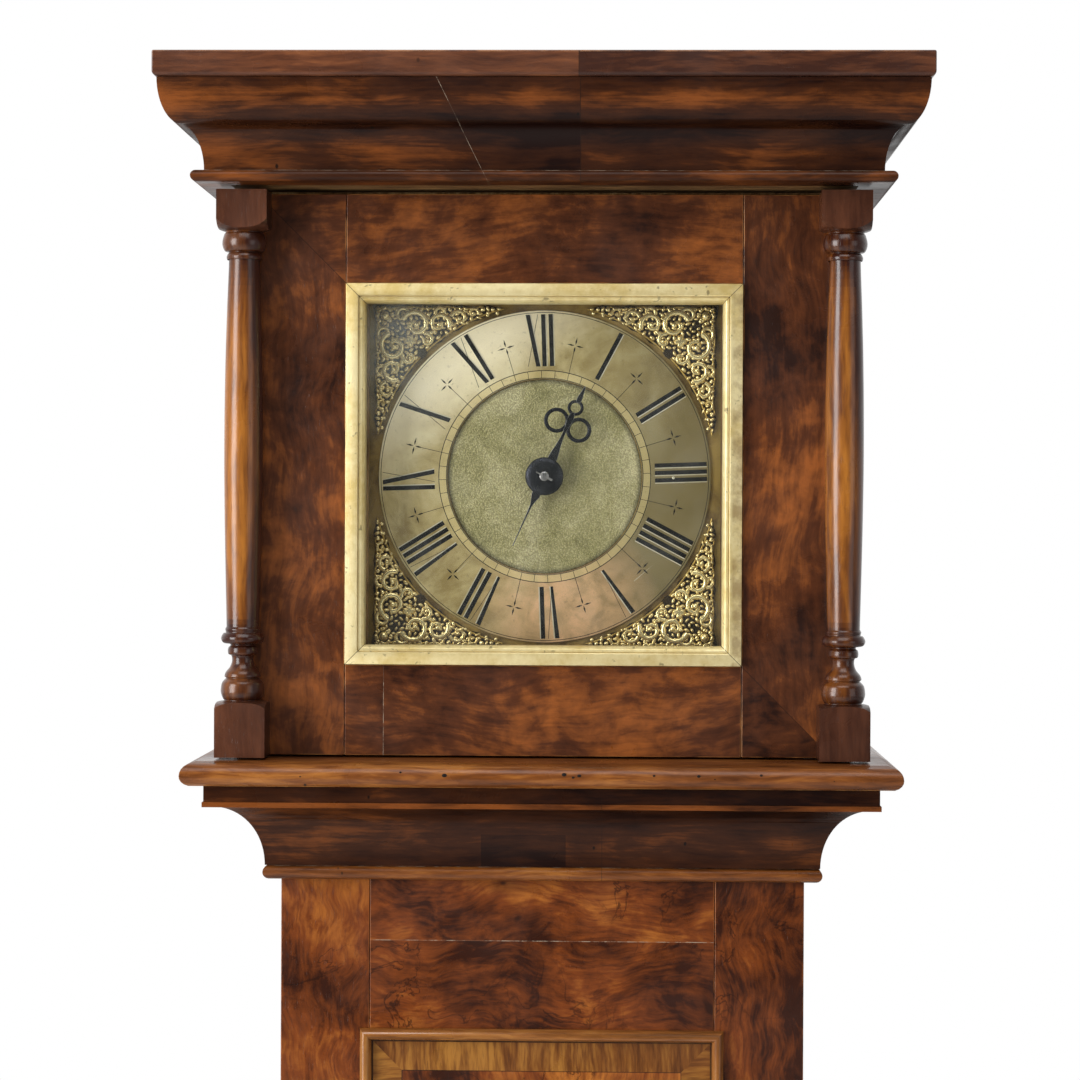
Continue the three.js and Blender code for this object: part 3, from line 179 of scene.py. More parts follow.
@dataclass(frozen=True)
class Station:
    """A place on a moulding's run, where its section stands."""

    origin: Vector
    out: Vector
    up: Vector

    def at(self, spot: Pair) -> Vector:
        """The place of a point of the section."""
        return self.origin + self.out * spot[0] + self.up * spot[1]

    def read(self, place: Vector) -> Pair:
        """The point of the section that a place stands for."""
        offset = place - self.origin
        return (
            offset.dot(self.out) / self.out.length_squared,
            offset.dot(self.up) / self.up.length_squared,
        )


def run_round_front(half: float, front: float, back: float) -> list[Station]:
    """Stations of a moulding round the two sides and the front of a case of half that width."""
    return [
        Station(Vector((side * half, y, 0)), Vector((side, out, 0)), Vector((0, 0, 1)))
        for side, y, out in ((-1, back, 0), (-1, front, -1), (1, front, -1), (1, back, 0))
    ]


def run_round_opening(half: Pair, centre: float) -> list[Station]:
    """Stations of an upright frame. Its section gives how far in, and how far to the wall."""
    wall = Vector((0, 1, 0))
    return [
        Station(Vector((sx * half[0], 0, centre + sz * half[1])), Vector((-sx, 0, -sz)), wall)
        for sx, sz in ((-1, -1), (-1, 1), (1, 1), (1, -1))
    ]


class Shape:
    """A mesh in the making, with the marks that its finish reads."""

    def __init__(self, source: str | None = None) -> None:
        """Starts an empty mesh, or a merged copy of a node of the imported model.

        Args:
            source: Name of the node to copy.
        """
        self.bm = bmesh.new()
        if source is not None:
            self.bm.from_mesh(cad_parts[source].data)
            bmesh.ops.remove_doubles(self.bm, verts=self.bm.verts[:], dist=MERGED)
            bmesh.ops.dissolve_limit(
                self.bm, angle_limit=FLAT_ANGLE, use_dissolve_boundaries=False,
                verts=self.bm.verts[:], edges=self.bm.edges[:],
            )
        for mark in Mark:
            self.bm.faces.layers.float.new(mark.value)
        self.bm.faces.layers.float_vector.new(SHIFT)

    def layer(self, mark: Mark) -> bmesh.types.BMLayerItem:
        """Where a mark is kept on the faces."""
        return self.bm.faces.layers.float[mark.value]

    def mark(self, faces: Iterable[Face], mark: Mark, value: float) -> None:
        """Sets one mark on the given faces."""
        layer = self.layer(mark)
        for face in faces:
            face[layer] = value

    def laid(self, turn: float = 0.0, shift: Triple = (0, 0, 0), light: float = 0.0) -> "Shape":
        """Lays the grain of the whole piece.

        Args:
            turn: Angle of the grain from upright, in the plane of the front.
            shift: Which part of the plank the piece is cut from.
            light: How much paler than the ordinary plank it is, from -1 to 1.

        Returns:
            The shape itself.
        """
        self.mark(self.bm.faces, Mark.TURN, turn)
        self.mark(self.bm.faces, Mark.LIGHT, light)
        layer = self.bm.faces.layers.float_vector[SHIFT]
        for face in self.bm.faces:
            face[layer] = Vector(shift)
        return self

    def relaid(self, faces: Iterable[Face], turn: float, shift: Triple) -> None:
        """Lays the grain of some faces, as for one leaf of veneer."""
        turns, shifts = self.layer(Mark.TURN), self.bm.faces.layers.float_vector[SHIFT]
        for face in faces:
            face[turns] = turn
            face[shifts] = Vector(shift)

    def block(self, low: Sequence[float], high: Sequence[float]) -> "Shape":
        """Adds a box between two corners.

        Args:
            low: Lowest corner.
            high: Highest corner.

        Returns:
            The shape itself.
        """
        middle, sizes = (Vector(low) + Vector(high)) / 2, Vector(high) - Vector(low)
        place = Matrix.Translation(middle) @ Matrix.Diagonal((*sizes, 1))
        bmesh.ops.create_cube(self.bm, size=1, matrix=place)
        return self

    def joined(self, part: bmesh.types.BMesh) -> None:
        """Adds a mesh in the making, which is used up.

        Args:
            part: The mesh.
        """
        carrier = bpy.data.meshes.new("part")
        part.to_mesh(carrier)
        part.free()
        self.bm.from_mesh(carrier)
        bpy.data.meshes.remove(carrier)

    def ball(
        self, centre: Sequence[float], radii: Sequence[float], turn: Matrix = UNTURNED,
    ) -> None:
        """Adds a ball or a flattened one.

        Args:
            centre: Its middle.
            radii: Its half sizes along its own axes.
            turn: How its axes are turned.
        """
        place = Matrix.Translation(Vector(centre)) @ turn @ Matrix.Diagonal((*radii, 1))
        small = bmesh.new()
        bmesh.ops.create_uvsphere(small, u_segments=10, v_segments=6, radius=1, matrix=place)
        self.joined(small)

    def swept(
        self, section: Sequence[Pair], stations: Sequence[Station], endless: bool = False,
    ) -> "Shape":
        """Runs a closed section through stations, with a mitre at each.

        Args:
            section: Points of the section, in order.
            stations: Where it stands on its way.
            endless: Whether the run comes back to its start.

        Returns:
            The shape itself.
        """
        verts = [self.bm.verts.new(stations[0].at(spot)) for spot in section]
        edges = [self.bm.edges.new(pair) for pair in zip(verts, verts[1:] + verts[:1])]
        way = [*stations, stations[0]] if endless else list(stations)
        for here, there in zip(way, way[1:]):
            grown = bmesh.ops.extrude_edge_only(self.bm, edges=edges)["geom"]
            edges = [g for g in grown if isinstance(g, bmesh.types.BMEdge) and g.is_boundary]
            for vert in (g for g in grown if isinstance(g, bmesh.types.BMVert)):
                vert.co = there.at(here.read(vert.co))
        return self.closed()

    def turned(
        self, points: Sequence[Triple], centre: Sequence[float], axis: Triple, steps: int = 48,
        endless: bool = False,
    ) -> "Shape":
        """Turns a line round an axis, as on a lathe.

        Args:
            points: The line.
            centre: A point on the axis.
            axis: The axis.
            steps: Facets of a full turn.
            endless: Whether the line closes on itself, as for a ring.

        Returns:
            The shape itself.
        """
        verts = [self.bm.verts.new(spot) for spot in points]
        ends = verts[1:] + verts[:1] if endless else verts[1:]
        edges = [self.bm.edges.new(pair) for pair in zip(verts, ends)]
        bmesh.ops.spin(
            self.bm, geom=verts + edges, cent=centre, axis=axis, dvec=(0, 0, 0),
            angle=2 * math.pi, steps=steps, use_merge=True, use_duplicate=False,
        )
        return self.closed()

    def closed(self) -> "Shape":
        """Merges what meets, fills open ends and turns all faces outwards.

        Returns:
            The shape itself.
        """
        bmesh.ops.remove_doubles(self.bm, verts=self.bm.verts[:], dist=MERGED)
        open_edges = [e for e in self.bm.edges if e.is_boundary]
        if open_edges:
            bmesh.ops.holes_fill(self.bm, edges=open_edges, sides=0)
        bmesh.ops.recalc_face_normals(self.bm, faces=self.bm.faces[:])
        return self

    def prism(self, outline: Sequence[Vector], depth: Vector) -> None:
        """Adds a flat shape of a few corners and gives it its thickness.

        Args:
            outline: Its corners.
            depth: How far its back lies from its front.
        """
        verts = [self.bm.verts.new(spot) for spot in outline]
        face = self.bm.faces.new(verts)
        grown = bmesh.ops.extrude_face_region(self.bm, geom=[face])["geom"]
        moved = [g for g in grown if isinstance(g, bmesh.types.BMVert)]
        bmesh.ops.translate(self.bm, verts=moved, vec=depth)
        made = {f for v in [*verts, *moved] for f in v.link_faces}
        bmesh.ops.recalc_face_normals(self.bm, faces=list(made))

    def painted_light_by_height(self, levels: Sequence[Pair]) -> "Shape":
        """Paints light and shade on the wood by height.

        Args:
            levels: Heights and the painted light there, paler above nought, from the lowest up.

        Returns:
            The shape itself.
        """
        layer = self.layer(Mark.LIGHT)
        for face in self.bm.faces:
            z = face.calc_center_median().z
            pale = levels[0][1] if z < levels[0][0] else levels[-1][1]
            for (low, first), (high, last) in zip(levels, levels[1:]):
                if low <= z <= high:
                    pale = first + (last - first) * (z - low) / (high - low)
            face[layer] = pale
        return self

    def painted_side_shade(self, way: Triple, pale: float, start: float = 0.2) -> "Shape":
        """Paints light and shade on the faces that look towards one side.

        Args:
            way: The side that is changed.
            pale: How much paler the faces are that look straight that way.
            start: How far a face's normal reaches that way where the change begins.

        Returns:
            The shape itself.
        """
        layer = self.layer(Mark.LIGHT)
        for face in self.bm.faces:
            share = (face.normal.dot(Vector(way)) - start) / (1 - start)
            face[layer] += pale * max(0.0, share)
        return self

    def stained(self, low: Pair, high: Pair, pale: float) -> "Shape":
        """Makes a patch of the front paler or darker, as where other wood was let in.

        Args:
            low: Left and lower bound of the patch.
            high: Right and upper bound.
            pale: How much paler the patch is than the wood round it.

        Returns:
            The shape itself.
        """
        for x in (low[0], high[0]):
            self.cut((x, 0, 0), (1, 0, 0))
        layer = self.layer(Mark.LIGHT)
        for face in self.bm.faces:
            spot = face.calc_center_median()
            if low[0] < spot.x < high[0] and low[1] < spot.z < high[1]:
                face[layer] += pale
        return self

    def dusty(self, height: float, reach: float = 0.0006) -> "Shape":
        """Marks the ledges about one height, where dust and old wax have gathered."""
        ledges = [
            f for f in self.bm.faces
            if f.normal.z > FACING and abs(f.calc_center_median().z - height) < reach
        ]
        self.mark(ledges, Mark.DUST, 1.0)
        return self

    def cut(self, point: Sequence[float], normal: Triple) -> list[bmesh.types.BMEdge]:
        """Cuts every face on a plane.

        Args:
            point: A point of the plane.
            normal: Its direction.

        Returns:
            The edges of the cut.
        """
        whole = self.bm.verts[:] + self.bm.edges[:] + self.bm.faces[:]
        cut = bmesh.ops.bisect_plane(self.bm, geom=whole, plane_co=point, plane_no=normal)
        return [g for g in cut["geom_cut"] if isinstance(g, bmesh.types.BMEdge)]

    def rounded(
        self, edges: Sequence[bmesh.types.BMEdge], width: float, segments: int,
    ) -> list[Face]:
        """Rounds edges off to a width on both sides, and gives the new faces."""
        return bmesh.ops.bevel(
            self.bm, geom=edges, offset=width, affect="EDGES", segments=segments, profile=0.5,
            material=-1, clamp_overlap=True,
        )["faces"]

    def scored(
        self, point: Sequence[float], normal: Triple, width: float = 0.0004,
        kind: Mark = Mark.JOINT,
    ) -> "Shape":
        """Cuts every face on a plane and marks a thin strip along the cut, as a veneer joint.

        Args:
            point: A point of the plane.
            normal: Its direction.
            width: Width of the strip.
            kind: What the strip is marked as.

        Returns:
            The shape itself.
        """
        edges = self.cut(point, normal)
        if edges:
            self.mark(self.rounded(edges, width / 2, 1), kind, 1.0)
        return self

    def jointed(
        self, point: Sequence[float], normal: Triple, width: float, shift: Triple,
        kind: Mark = Mark.JOINT,
    ) -> list[Face]:
        """Makes the piece of two leaves that meet on a plane, with the grain of the far one level.

        Args:
            point: A point of the plane.
            normal: Its direction, towards the far leaf.
            width: Width of the joint.
            shift: Which part of the plank the far leaf is cut from.
            kind: What the joint is marked as.

        Returns:
            The faces of the far leaf.
        """
        leaf = self.scored(point, normal, width, kind).beyond(point, normal)
        self.relaid(leaf, ALONG, shift)
        return leaf

    def beyond(self, point: Sequence[float], normal: Triple) -> list[Face]:
        """The faces whose middles lie past a plane, on the side of its direction."""
        spot, way = Vector(point), Vector(normal)
        return [f for f in self.bm.faces if (f.calc_center_median() - spot).dot(way) > 0]

    def eased(self, width: float = 0.0008, segments: int = 2, sharp: float = 35) -> "Shape":
        """Rounds sharp edges a little and marks them: worn, and painted shade on the chapter ring.

        Args:
            width: How far the rounding reaches from the edge.
            segments: Facets of the rounding.
            sharp: Edges that turn by more than this many degrees are rounded.

        Returns:
            The shape itself.
        """
        limit = math.radians(sharp)
        edges = [e for e in self.bm.edges if e.is_manifold and e.calc_face_angle(0) > limit]
        if edges:
            self.mark(self.rounded(edges, width, segments), Mark.WEAR_AND_EDGE_SHADE, 1.0)
        return self

    def moved(self, matrix: Matrix) -> "Shape":
        """Moves or turns the whole shape."""
        bmesh.ops.transform(self.bm, matrix=matrix, verts=self.bm.verts[:])
        return self

    def mesh(self, name: str) -> bpy.types.Mesh:
        """Ends the making.

        Args:
            name: Name of the mesh.

        Returns:
            The mesh, smooth except at sharp edges.
        """
        mesh = bpy.data.meshes.new(name)
        self.bm.to_mesh(mesh)
        self.bm.free()
        mesh.polygons.foreach_set("use_smooth", [True] * len(mesh.polygons))
        mesh.set_sharp_from_angle(angle=SHARP_ANGLE)
        return mesh


class Nodes:
    """Lays out nodes in one tree."""

    def __init__(self, tree: bpy.types.NodeTree) -> None:
        """Takes the tree that the nodes go in."""
        self.tree = tree

    def feed(self, socket: Socket, value: object) -> None:
        """Links another socket to this one, or sets its own value."""
        if isinstance(value, Socket):
            self.tree.links.new(value, socket)
        else:
            socket.default_value = value

    def node(self, kind: str, inputs: dict | None = None, **settings: object) -> bpy.types.Node:
        """Adds a node.

        Args:
            kind: Blender's name of the node.
            inputs: Values or sockets for its inputs.
            settings: Its other settings.

        Returns:
            The node.
        """
        made = self.tree.nodes.new(kind)
        for key, value in settings.items():
            setattr(made, key, value)
        for key, value in (inputs or {}).items():
            self.feed(made.inputs[key], value)
        return made

    def span(
        self, value: Socket, low: float, high: float, first: float = 0.0, last: float = 1.0,
    ) -> Socket:
        """A value stretched from one range to another, and kept in it."""
        ends = {"From Min": low, "From Max": high, "To Min": first, "To Max": last}
        return self.node("ShaderNodeMapRange", {"Value": value, **ends}).outputs["Result"]

    def fall(self, value: Socket, low: float, high: float) -> Socket:
        """One below a range and nothing above it."""
        return self.span(value, low, high, 1.0, 0.0)

    def sum(self, *values: object, operation: str = "ADD") -> Socket:
        """Works several values together by one operation."""
        total = values[0]
        for value in values[1:]:
            pair = {0: total, 1: value}
            total = self.node("ShaderNodeMath", pair, operation=operation).outputs[0]
        return total

    def product(self, *values: object) -> Socket:
        """Multiplies values."""
        return self.sum(*values, operation="MULTIPLY")

    def size(self, value: Socket) -> Socket:
        """A value without its sign."""
        return self.node("ShaderNodeMath", {0: value}, operation="ABSOLUTE").outputs[0]

    def parts(self, vector: Socket) -> bpy.types.NodeOutputs:
        """The three parts of a vector, by their letters."""
        return self.node("ShaderNodeSeparateXYZ", {"Vector": vector}).outputs


class Recipe(Nodes):
    """Lays out the nodes of one finish."""

    def __init__(self, name: str) -> None:
        """Starts a material of the given name, with its shader."""
        self.material = bpy.data.materials.new(name)
        self.material.use_nodes = True
        super().__init__(self.material.node_tree)
        self.shader = self.tree.nodes["Principled BSDF"]

    def place(self) -> Socket:
        """Where a point lies on the clock."""
        return self.node("ShaderNodeTexCoord").outputs["Object"]

    def mark(self, mark: Mark) -> Socket:
        """A value kept on the faces."""
        return self.node("ShaderNodeAttribute", attribute_name=mark.value).outputs["Fac"]

    def mapped(self, vector: Socket, scale: Triple, shift: Triple = (0, 0, 0)) -> Socket:
        """A place stretched and shifted."""
        inputs = {"Vector": vector, "Scale": scale, "Location": shift}
        return self.node("ShaderNodeMapping", inputs).outputs["Vector"]

    def added(self, first: Socket, second: Socket) -> Socket:
        """Two vectors together."""
        inputs = {0: first, 1: second}
        return self.node("ShaderNodeVectorMath", inputs, operation="ADD").outputs["Vector"]

    def around(self, place: Socket, x: float, z: float) -> tuple[Socket, Socket]:
        """A place as measured from a point of the front, and its distance from that point."""
        spot = self.mapped(place, (1, 0, 1), (-x, 0, -z))
        length = self.node("ShaderNodeVectorMath", {0: spot}, operation="LENGTH")
        return spot, length.outputs["Value"]

    def noise(
        self, vector: Socket, scale: float, detail: float = 3.0, roughness: float = 0.5,
        distortion: float = 0.0,
    ) -> Socket:
        """Cloudy values about one half."""
        look = {"Detail": detail, "Roughness": roughness, "Distortion": distortion}
        made = self.node("ShaderNodeTexNoise", {"Vector": vector, "Scale": scale, **look})
        return made.outputs[0]

    def cells(self, vector: Socket, scale: float) -> Socket:
        """Distance to the nearest of many scattered points."""
        inputs = {"Vector": vector, "Scale": scale}
        return self.node("ShaderNodeTexVoronoi", inputs).outputs["Distance"]

    def ramp(self, value: Socket, *stops: tuple[float, str]) -> Socket:
        """Colours for a value.

        Args:
            value: The value.
            stops: Positions and their colours as on a colour card, in order.

        Returns:
            The colour.
        """
        made = self.node("ShaderNodeValToRGB", {"Fac": value})
        elements = made.color_ramp.elements
        while len(elements) < len(stops):
            elements.new(0.5)
        for element, (position, code) in zip(elements, stops):
            element.position, element.color = position, tint(code)
        return made.outputs["Color"]

    def blend(self, share: object, first: object, second: object) -> Socket:
        """Mixes two colours by a share."""
        inputs = {0: share, 6: first, 7: second}
        return self.node("ShaderNodeMix", inputs, data_type="RGBA").outputs[2]

    def stain(self, colour: Socket, over: Colour | str, *shares: object) -> Socket:
        """Lays another colour over one, as far as the product of the shares says."""
        upper = tint(over) if isinstance(over, str) else over
        return self.blend(self.product(*shares), colour, upper)

    def bump(
        self, height: Socket, distance: float, strength: float = 1.0, normal: Socket | None = None,
    ) -> Socket:
        """Raises the surface by a height."""
        inputs = {"Height": height, "Distance": distance, "Strength": strength}
        if normal is not None:
            inputs["Normal"] = normal
        return self.node("ShaderNodeBump", inputs).outputs["Normal"]

    def dress(self, **inputs: object) -> None:
        """Feeds the shader. Underscores stand for the spaces of its socket names."""
        for key, value in inputs.items():
            self.feed(self.shader.inputs[key.replace("_", " ")], value)


@dataclass(frozen=True)
class Finish:
    """A finish with its own name. Each kind lays its own nodes."""

    name: str

    def lay(self, recipe: Recipe) -> None:
        """Lays the nodes of this finish."""
        raise NotImplementedError

    def material(self) -> bpy.types.Material:
        """The finish as a material, made once."""
        if self.name not in LAID:
            recipe = Recipe(self.name)
            self.lay(recipe)
            LAID[self.name] = recipe.material
        return LAID[self.name]


@dataclass(frozen=True)
class WoodFinish(Finish):
    """Polished or plain wood, with its figure, grain, pores, knots, joints, dust and worn edges."""

    dark: str = "2d1710"
    middle: str = "5d3620"
    light: str = "93552a"
    worn: str = "a9713c"
    joint: str = "23140d"
    dust: str = "a3937f"
    hole: Colour = (0.004, 0.003, 0.002, 1)
    deep_share: float = 0.45
    cloud: float = 9.0
    figure: float = 45.0
    stretch: float = 2.2
    swirl: float = 14.0
    flow: float = 0.012
    line: float = 260.0
    line_share: float = 0.25
    streak_share: float = 0.2
    crack_share: float = 0.0
    knot_share: float = 0.0
    knots: float = 34.0
    hole_share: float = 0.0
    wear_share: float = 0.75
    rough: Pair = (0.22, 0.42)
    coat: float = 0.12
    shine: float = 0.3
    pores: float = 1500.0
    pore_share: float = 0.25
    pore_depth: float = 0.00004
    wave_depth: float = 0.0012

    @property
    def deep(self) -> Colour:
        """The colour of pores and cracks, deeper than the dark of the figure."""
        red, green, blue, _ = tint(self.dark)
        return (red * self.deep_share, green * self.deep_share, blue * self.deep_share, 1)

    def grain(self, recipe: Recipe) -> tuple[Socket, Socket]:
        """Lays out the plank.

        Args:
            recipe: Where the nodes go.

        Returns:
            The straight grain, and the grain bent by the figure.
        """
        turned = recipe.node(
            "ShaderNodeVectorRotate",
            {"Vector": recipe.place(), "Angle": recipe.mark(Mark.TURN), "Axis": (0, 1, 0)},
            rotation_type="AXIS_ANGLE",
        ).outputs["Vector"]
        shift = recipe.node("ShaderNodeAttribute", attribute_name=SHIFT).outputs["Vector"]
        straight = recipe.added(turned, shift)
        bend = recipe.node(
            "ShaderNodeTexNoise", {"Vector": straight, "Scale": self.swirl, "Detail": 2.0},
        ).outputs["Color"]
        push = recipe.node(
            "ShaderNodeVectorMath", {0: bend, 1: (self.flow,) * 3, 2: (-self.flow / 2,) * 3},
            operation="MULTIPLY_ADD",
        ).outputs["Vector"]
        return straight, recipe.added(straight, push)

    def flaws(self, recipe: Recipe, colour: Socket, straight: Socket, bent: Socket) -> Socket:
        """Lays the cracks, knots and worm holes over the wood.

        Args:
            recipe: Where the nodes go.
            colour: The colour of the wood.
            straight: Its straight grain.
            bent: Its bent grain.

        Returns:
            The colour with its flaws.
        """
        if self.crack_share:
            drawn = recipe.mapped(bent, (1, 1, 1 / self.stretch))
            curl = recipe.noise(drawn, self.figure * 0.4, 5, 0.55, 1.5)
            away = recipe.size(recipe.sum(curl, 0.5, operation="SUBTRACT"))
            crack, here = recipe.fall(away, 0.002, 0.014), recipe.noise(straight, 7, 2)
            colour = recipe.stain(
                colour, self.deep, crack, recipe.span(here, 0.5, 0.6), self.crack_share,
            )
        if self.knot_share:
            knotted = recipe.mapped(bent, (1, 1, 0.8), (0.013, 0.02, 0.031))
            knot = recipe.cells(knotted, self.knots)
            spots = recipe.span(recipe.noise(straight, 8, 2), 0.5, 0.6)
            halo, eye = recipe.fall(knot, 0.05, 0.36), recipe.fall(knot, 0.05, 0.1)
            colour = recipe.stain(colour, self.dark, halo, spots, self.knot_share * 0.7)
            colour = recipe.stain(colour, self.deep, eye, spots, self.knot_share)
        if self.hole_share:
            pitted = recipe.mapped(bent, (1, 1, 1.5), (0.7, 0.1, 0.3))
            pit = recipe.fall(recipe.cells(pitted, self.knots), 0.04, 0.065)
            colour = recipe.stain(colour, self.hole, pit, self.hole_share)
        return colour

    def lay(self, recipe: Recipe) -> None:
        """Lays the nodes of the wood."""
        straight, bent = self.grain(recipe)
        drawn = recipe.mapped(bent, (1, 1, 1 / self.stretch))
        cloud = recipe.noise(drawn, self.cloud, 3, 0.5, 0.3)
        figure = recipe.noise(drawn, self.figure, 5, 0.6, 0.3)
        line = recipe.noise(recipe.mapped(bent, (1, 1, 0.1)), self.line, 3, 0.6, 0.2)
        fine = recipe.noise(recipe.mapped(straight, (1, 1, 0.09)), self.pores, 1, 0.5)
        pores = recipe.span(fine, 0.62, 0.74)
        # Tone mark: each leaf's own tone, and painted light and shade where it is marked.
        tone = recipe.sum(
            recipe.product(cloud, 0.6 - self.line_share / 2),
            recipe.product(figure, 0.4 - self.line_share / 2),
            recipe.product(line, self.line_share), recipe.product(recipe.mark(Mark.LIGHT), 0.1),
        )
        colour = recipe.ramp(tone, (0.38, self.dark), (0.5, self.middle), (0.62, self.light))
        streaks = recipe.fall(line, 0.32, 0.5)
        colour = recipe.stain(colour, self.dark, streaks, self.streak_share)
        colour = recipe.stain(colour, self.deep, pores, self.pore_share)
        colour = self.flaws(recipe, colour, straight, bent)
        patchy = recipe.span(recipe.noise(recipe.place(), 55, 4), 0.4, 0.62)
        rubbed = recipe.product(recipe.mark(Mark.WEAR_AND_EDGE_SHADE), patchy, self.wear_share)
        colour = recipe.stain(colour, self.worn, rubbed)
        joints = recipe.mark(Mark.JOINT)
        colour = recipe.stain(colour, self.joint, joints, 0.8)
        broken = recipe.span(recipe.noise(recipe.place(), 150, 4, 0.6), 0.44, 0.58, 0.1, 0.75)
        dust = recipe.product(recipe.mark(Mark.DUST), broken)
        colour = recipe.stain(colour, self.dust, dust)
        smear = recipe.noise(recipe.place(), 14, 5, 0.6, 0.4)
        rough = recipe.sum(
            recipe.span(smear, 0.35, 0.65, *self.rough), recipe.product(rubbed, 0.1),
            recipe.product(dust, 0.4),
        )
        height = recipe.sum(
            recipe.product(pores, -1.0), recipe.product(line, 0.6), recipe.product(joints, -2.0),
        )
        rolling = recipe.noise(recipe.mapped(straight, (1, 1, 0.4)), 30, 2)
        wave = recipe.bump(rolling, self.wave_depth)
        relief = recipe.bump(height, self.pore_depth, 1.0, wave)
        recipe.dress(
            Base_Color=colour, Roughness=rough, Normal=relief, Coat_Weight=self.coat,
            Coat_Roughness=0.18, Coat_Normal=wave, Specular_IOR_Level=self.shine,
        )


@dataclass(frozen=True)
class MetalFinish(Finish):
    """Metal with tarnish in patches, fine scratches and brighter or darker edges."""

    bright: str = "d8b870"
    dull: str = "8f7238"
    edge: str = "f0dca0"
    metallic: float = 0.9
    rough: Pair = (0.24, 0.46)
    patch: float = 24.0
    grit: float = 900.0
    grit_depth: float = 0.00006
    edge_share: float = 0.6
    spots: float = 0.2
    mitre: Pair | None = None
    right_shade_from: Pair = (0.1305, 0.1325)

    def mitred(self, recipe: Recipe, colour: Socket) -> Socket:
        """Draws an upright frame's four mitres, and patchy brown painted shade down its right side.

        Args:
            recipe: Where the nodes go.
            colour: The colour of the metal.

        Returns:
            The colour with both.
        """
        parts = recipe.parts(recipe.place())
        across = recipe.size(parts["X"])
        up = recipe.size(recipe.sum(parts["Z"], self.mitre[1], operation="SUBTRACT"))
        away = recipe.size(recipe.sum(across, up, self.mitre[0], operation="SUBTRACT"))
        patchy = recipe.span(recipe.noise(recipe.place(), 60, 5, 0.65), 0.4, 0.6)
        # Painted shade down the right side, broken into brown patches.
        side = recipe.span(parts["X"], *self.right_shade_from)
        colour = recipe.stain(colour, "8a6a42", side, patchy, 0.6)
        return recipe.stain(colour, "2c1d0c", recipe.span(away, 0.0001, 0.0005, 0.85, 0.0))

    def lay(self, recipe: Recipe) -> None:
        """Lays the nodes of the metal."""
        place = recipe.place()
        patch = recipe.noise(place, self.patch, 6, 0.62, 0.5)
        speck = recipe.noise(place, self.patch * 14, 3, 0.6)
        drawn = recipe.mapped(place, (1, 0.05, 0.08))
        scratch = recipe.noise(drawn, self.grit * 1.7, 2, 0.5, 0.4)
        grit = recipe.noise(place, self.grit, 3, 0.6)
        shade = recipe.sum(recipe.product(patch, 0.75), recipe.product(speck, 0.25))
        colour = recipe.ramp(shade, (0.38, self.dull), (0.58, self.bright))
        spot = recipe.span(recipe.noise(place, 210, 2, 0.5, 0.3), 0.66, 0.74)
        colour = recipe.stain(colour, "33250f", spot, self.spots)
        colour = recipe.stain(colour, self.edge, recipe.mark(Mark.WEAR_AND_EDGE_SHADE), self.edge_share)
        if self.mitre:
            colour = self.mitred(recipe, colour)
        rough = recipe.sum(
            recipe.span(patch, 0.35, 0.62, self.rough[1], self.rough[0]),
            recipe.span(scratch, 0.55, 0.75, 0.0, 0.12),
        )
        height = recipe.sum(grit, recipe.product(scratch, 0.6))
        recipe.dress(
            Base_Color=colour, Roughness=rough, Metallic=self.metallic,
            Normal=recipe.bump(height, self.grit_depth),
        )


@dataclass(frozen=True)
class CastFinish(Finish):
    """Cast and gilt brass: bright on its high places, dark brown in its hollows."""

    low: float = 0.0
    high: float = 1.0

    def lay(self, recipe: Recipe) -> None:
        """Lays the nodes of the casting."""
        place = recipe.place()
        raised = recipe.span(recipe.parts(place)["Y"], self.low, self.high)
        speck = recipe.noise(place, 420, 4, 0.65, 0.5)
        shade = recipe.sum(raised, recipe.span(speck, 0.3, 0.7, -0.16, 0.16))
        recipe.dress(
            Base_Color=recipe.ramp(
                shade, (0.06, "38290f"), (0.34, "806428"), (0.6, "c6a858"), (0.92, "f6e6a8"),
            ),
            Roughness=recipe.span(shade, 0.2, 0.9, 0.62, 0.24), Metallic=0.8,
            Normal=recipe.bump(speck, 0.0002),
        )


@dataclass(frozen=True)
class DialFinish(Finish):
    """The dial plate: a matted middle with green and gold patches, plainer brass round it."""

    centre: Triple = (0, 0, 0)
    matted: float = 0.0685
    margin: float = 0.0006
    ring_shadow_reach: float = 0.0035

    def lay(self, recipe: Recipe) -> None:
        """Lays the nodes of the plate."""
        spot, radius = recipe.around(recipe.place(), self.centre[0], self.centre[2])
        inside = recipe.fall(radius, self.matted, self.matted + self.margin)
        patch = recipe.noise(spot, 26, 6, 0.65, 0.6)
        grain = recipe.cells(spot, 900)
        stipple = recipe.noise(spot, 700, 2, 0.7)
        matt = recipe.ramp(
            recipe.sum(recipe.product(patch, 0.7), recipe.product(stipple, 0.3)),
            (0.36, "8a8652"), (0.5, "aea876"), (0.62, "cbc497"),
        )
        matt = recipe.stain(matt, "5c572e", recipe.span(grain, 0.35, 0.6, 0.0, 0.35))
        # Painted shadow of the raised chapter ring, darkening the matting just inside it.
        ring_shadow = recipe.span(radius, self.matted - self.ring_shadow_reach, self.matted + self.margin)
        matt = recipe.stain(matt, "2c2412", ring_shadow, 0.75)
        plain = recipe.ramp(patch, (0.38, "6b5226"), (0.6, "ab8f4a"))
        dull = recipe.span(patch, 0.35, 0.65, 0.4, 0.55)
        recipe.dress(
            Base_Color=recipe.blend(inside, plain, matt), Metallic=0.55,
            Roughness=recipe.sum(dull, recipe.product(stipple, 0.1)),
            Normal=recipe.bump(recipe.product(inside, grain), 0.00035),
        )


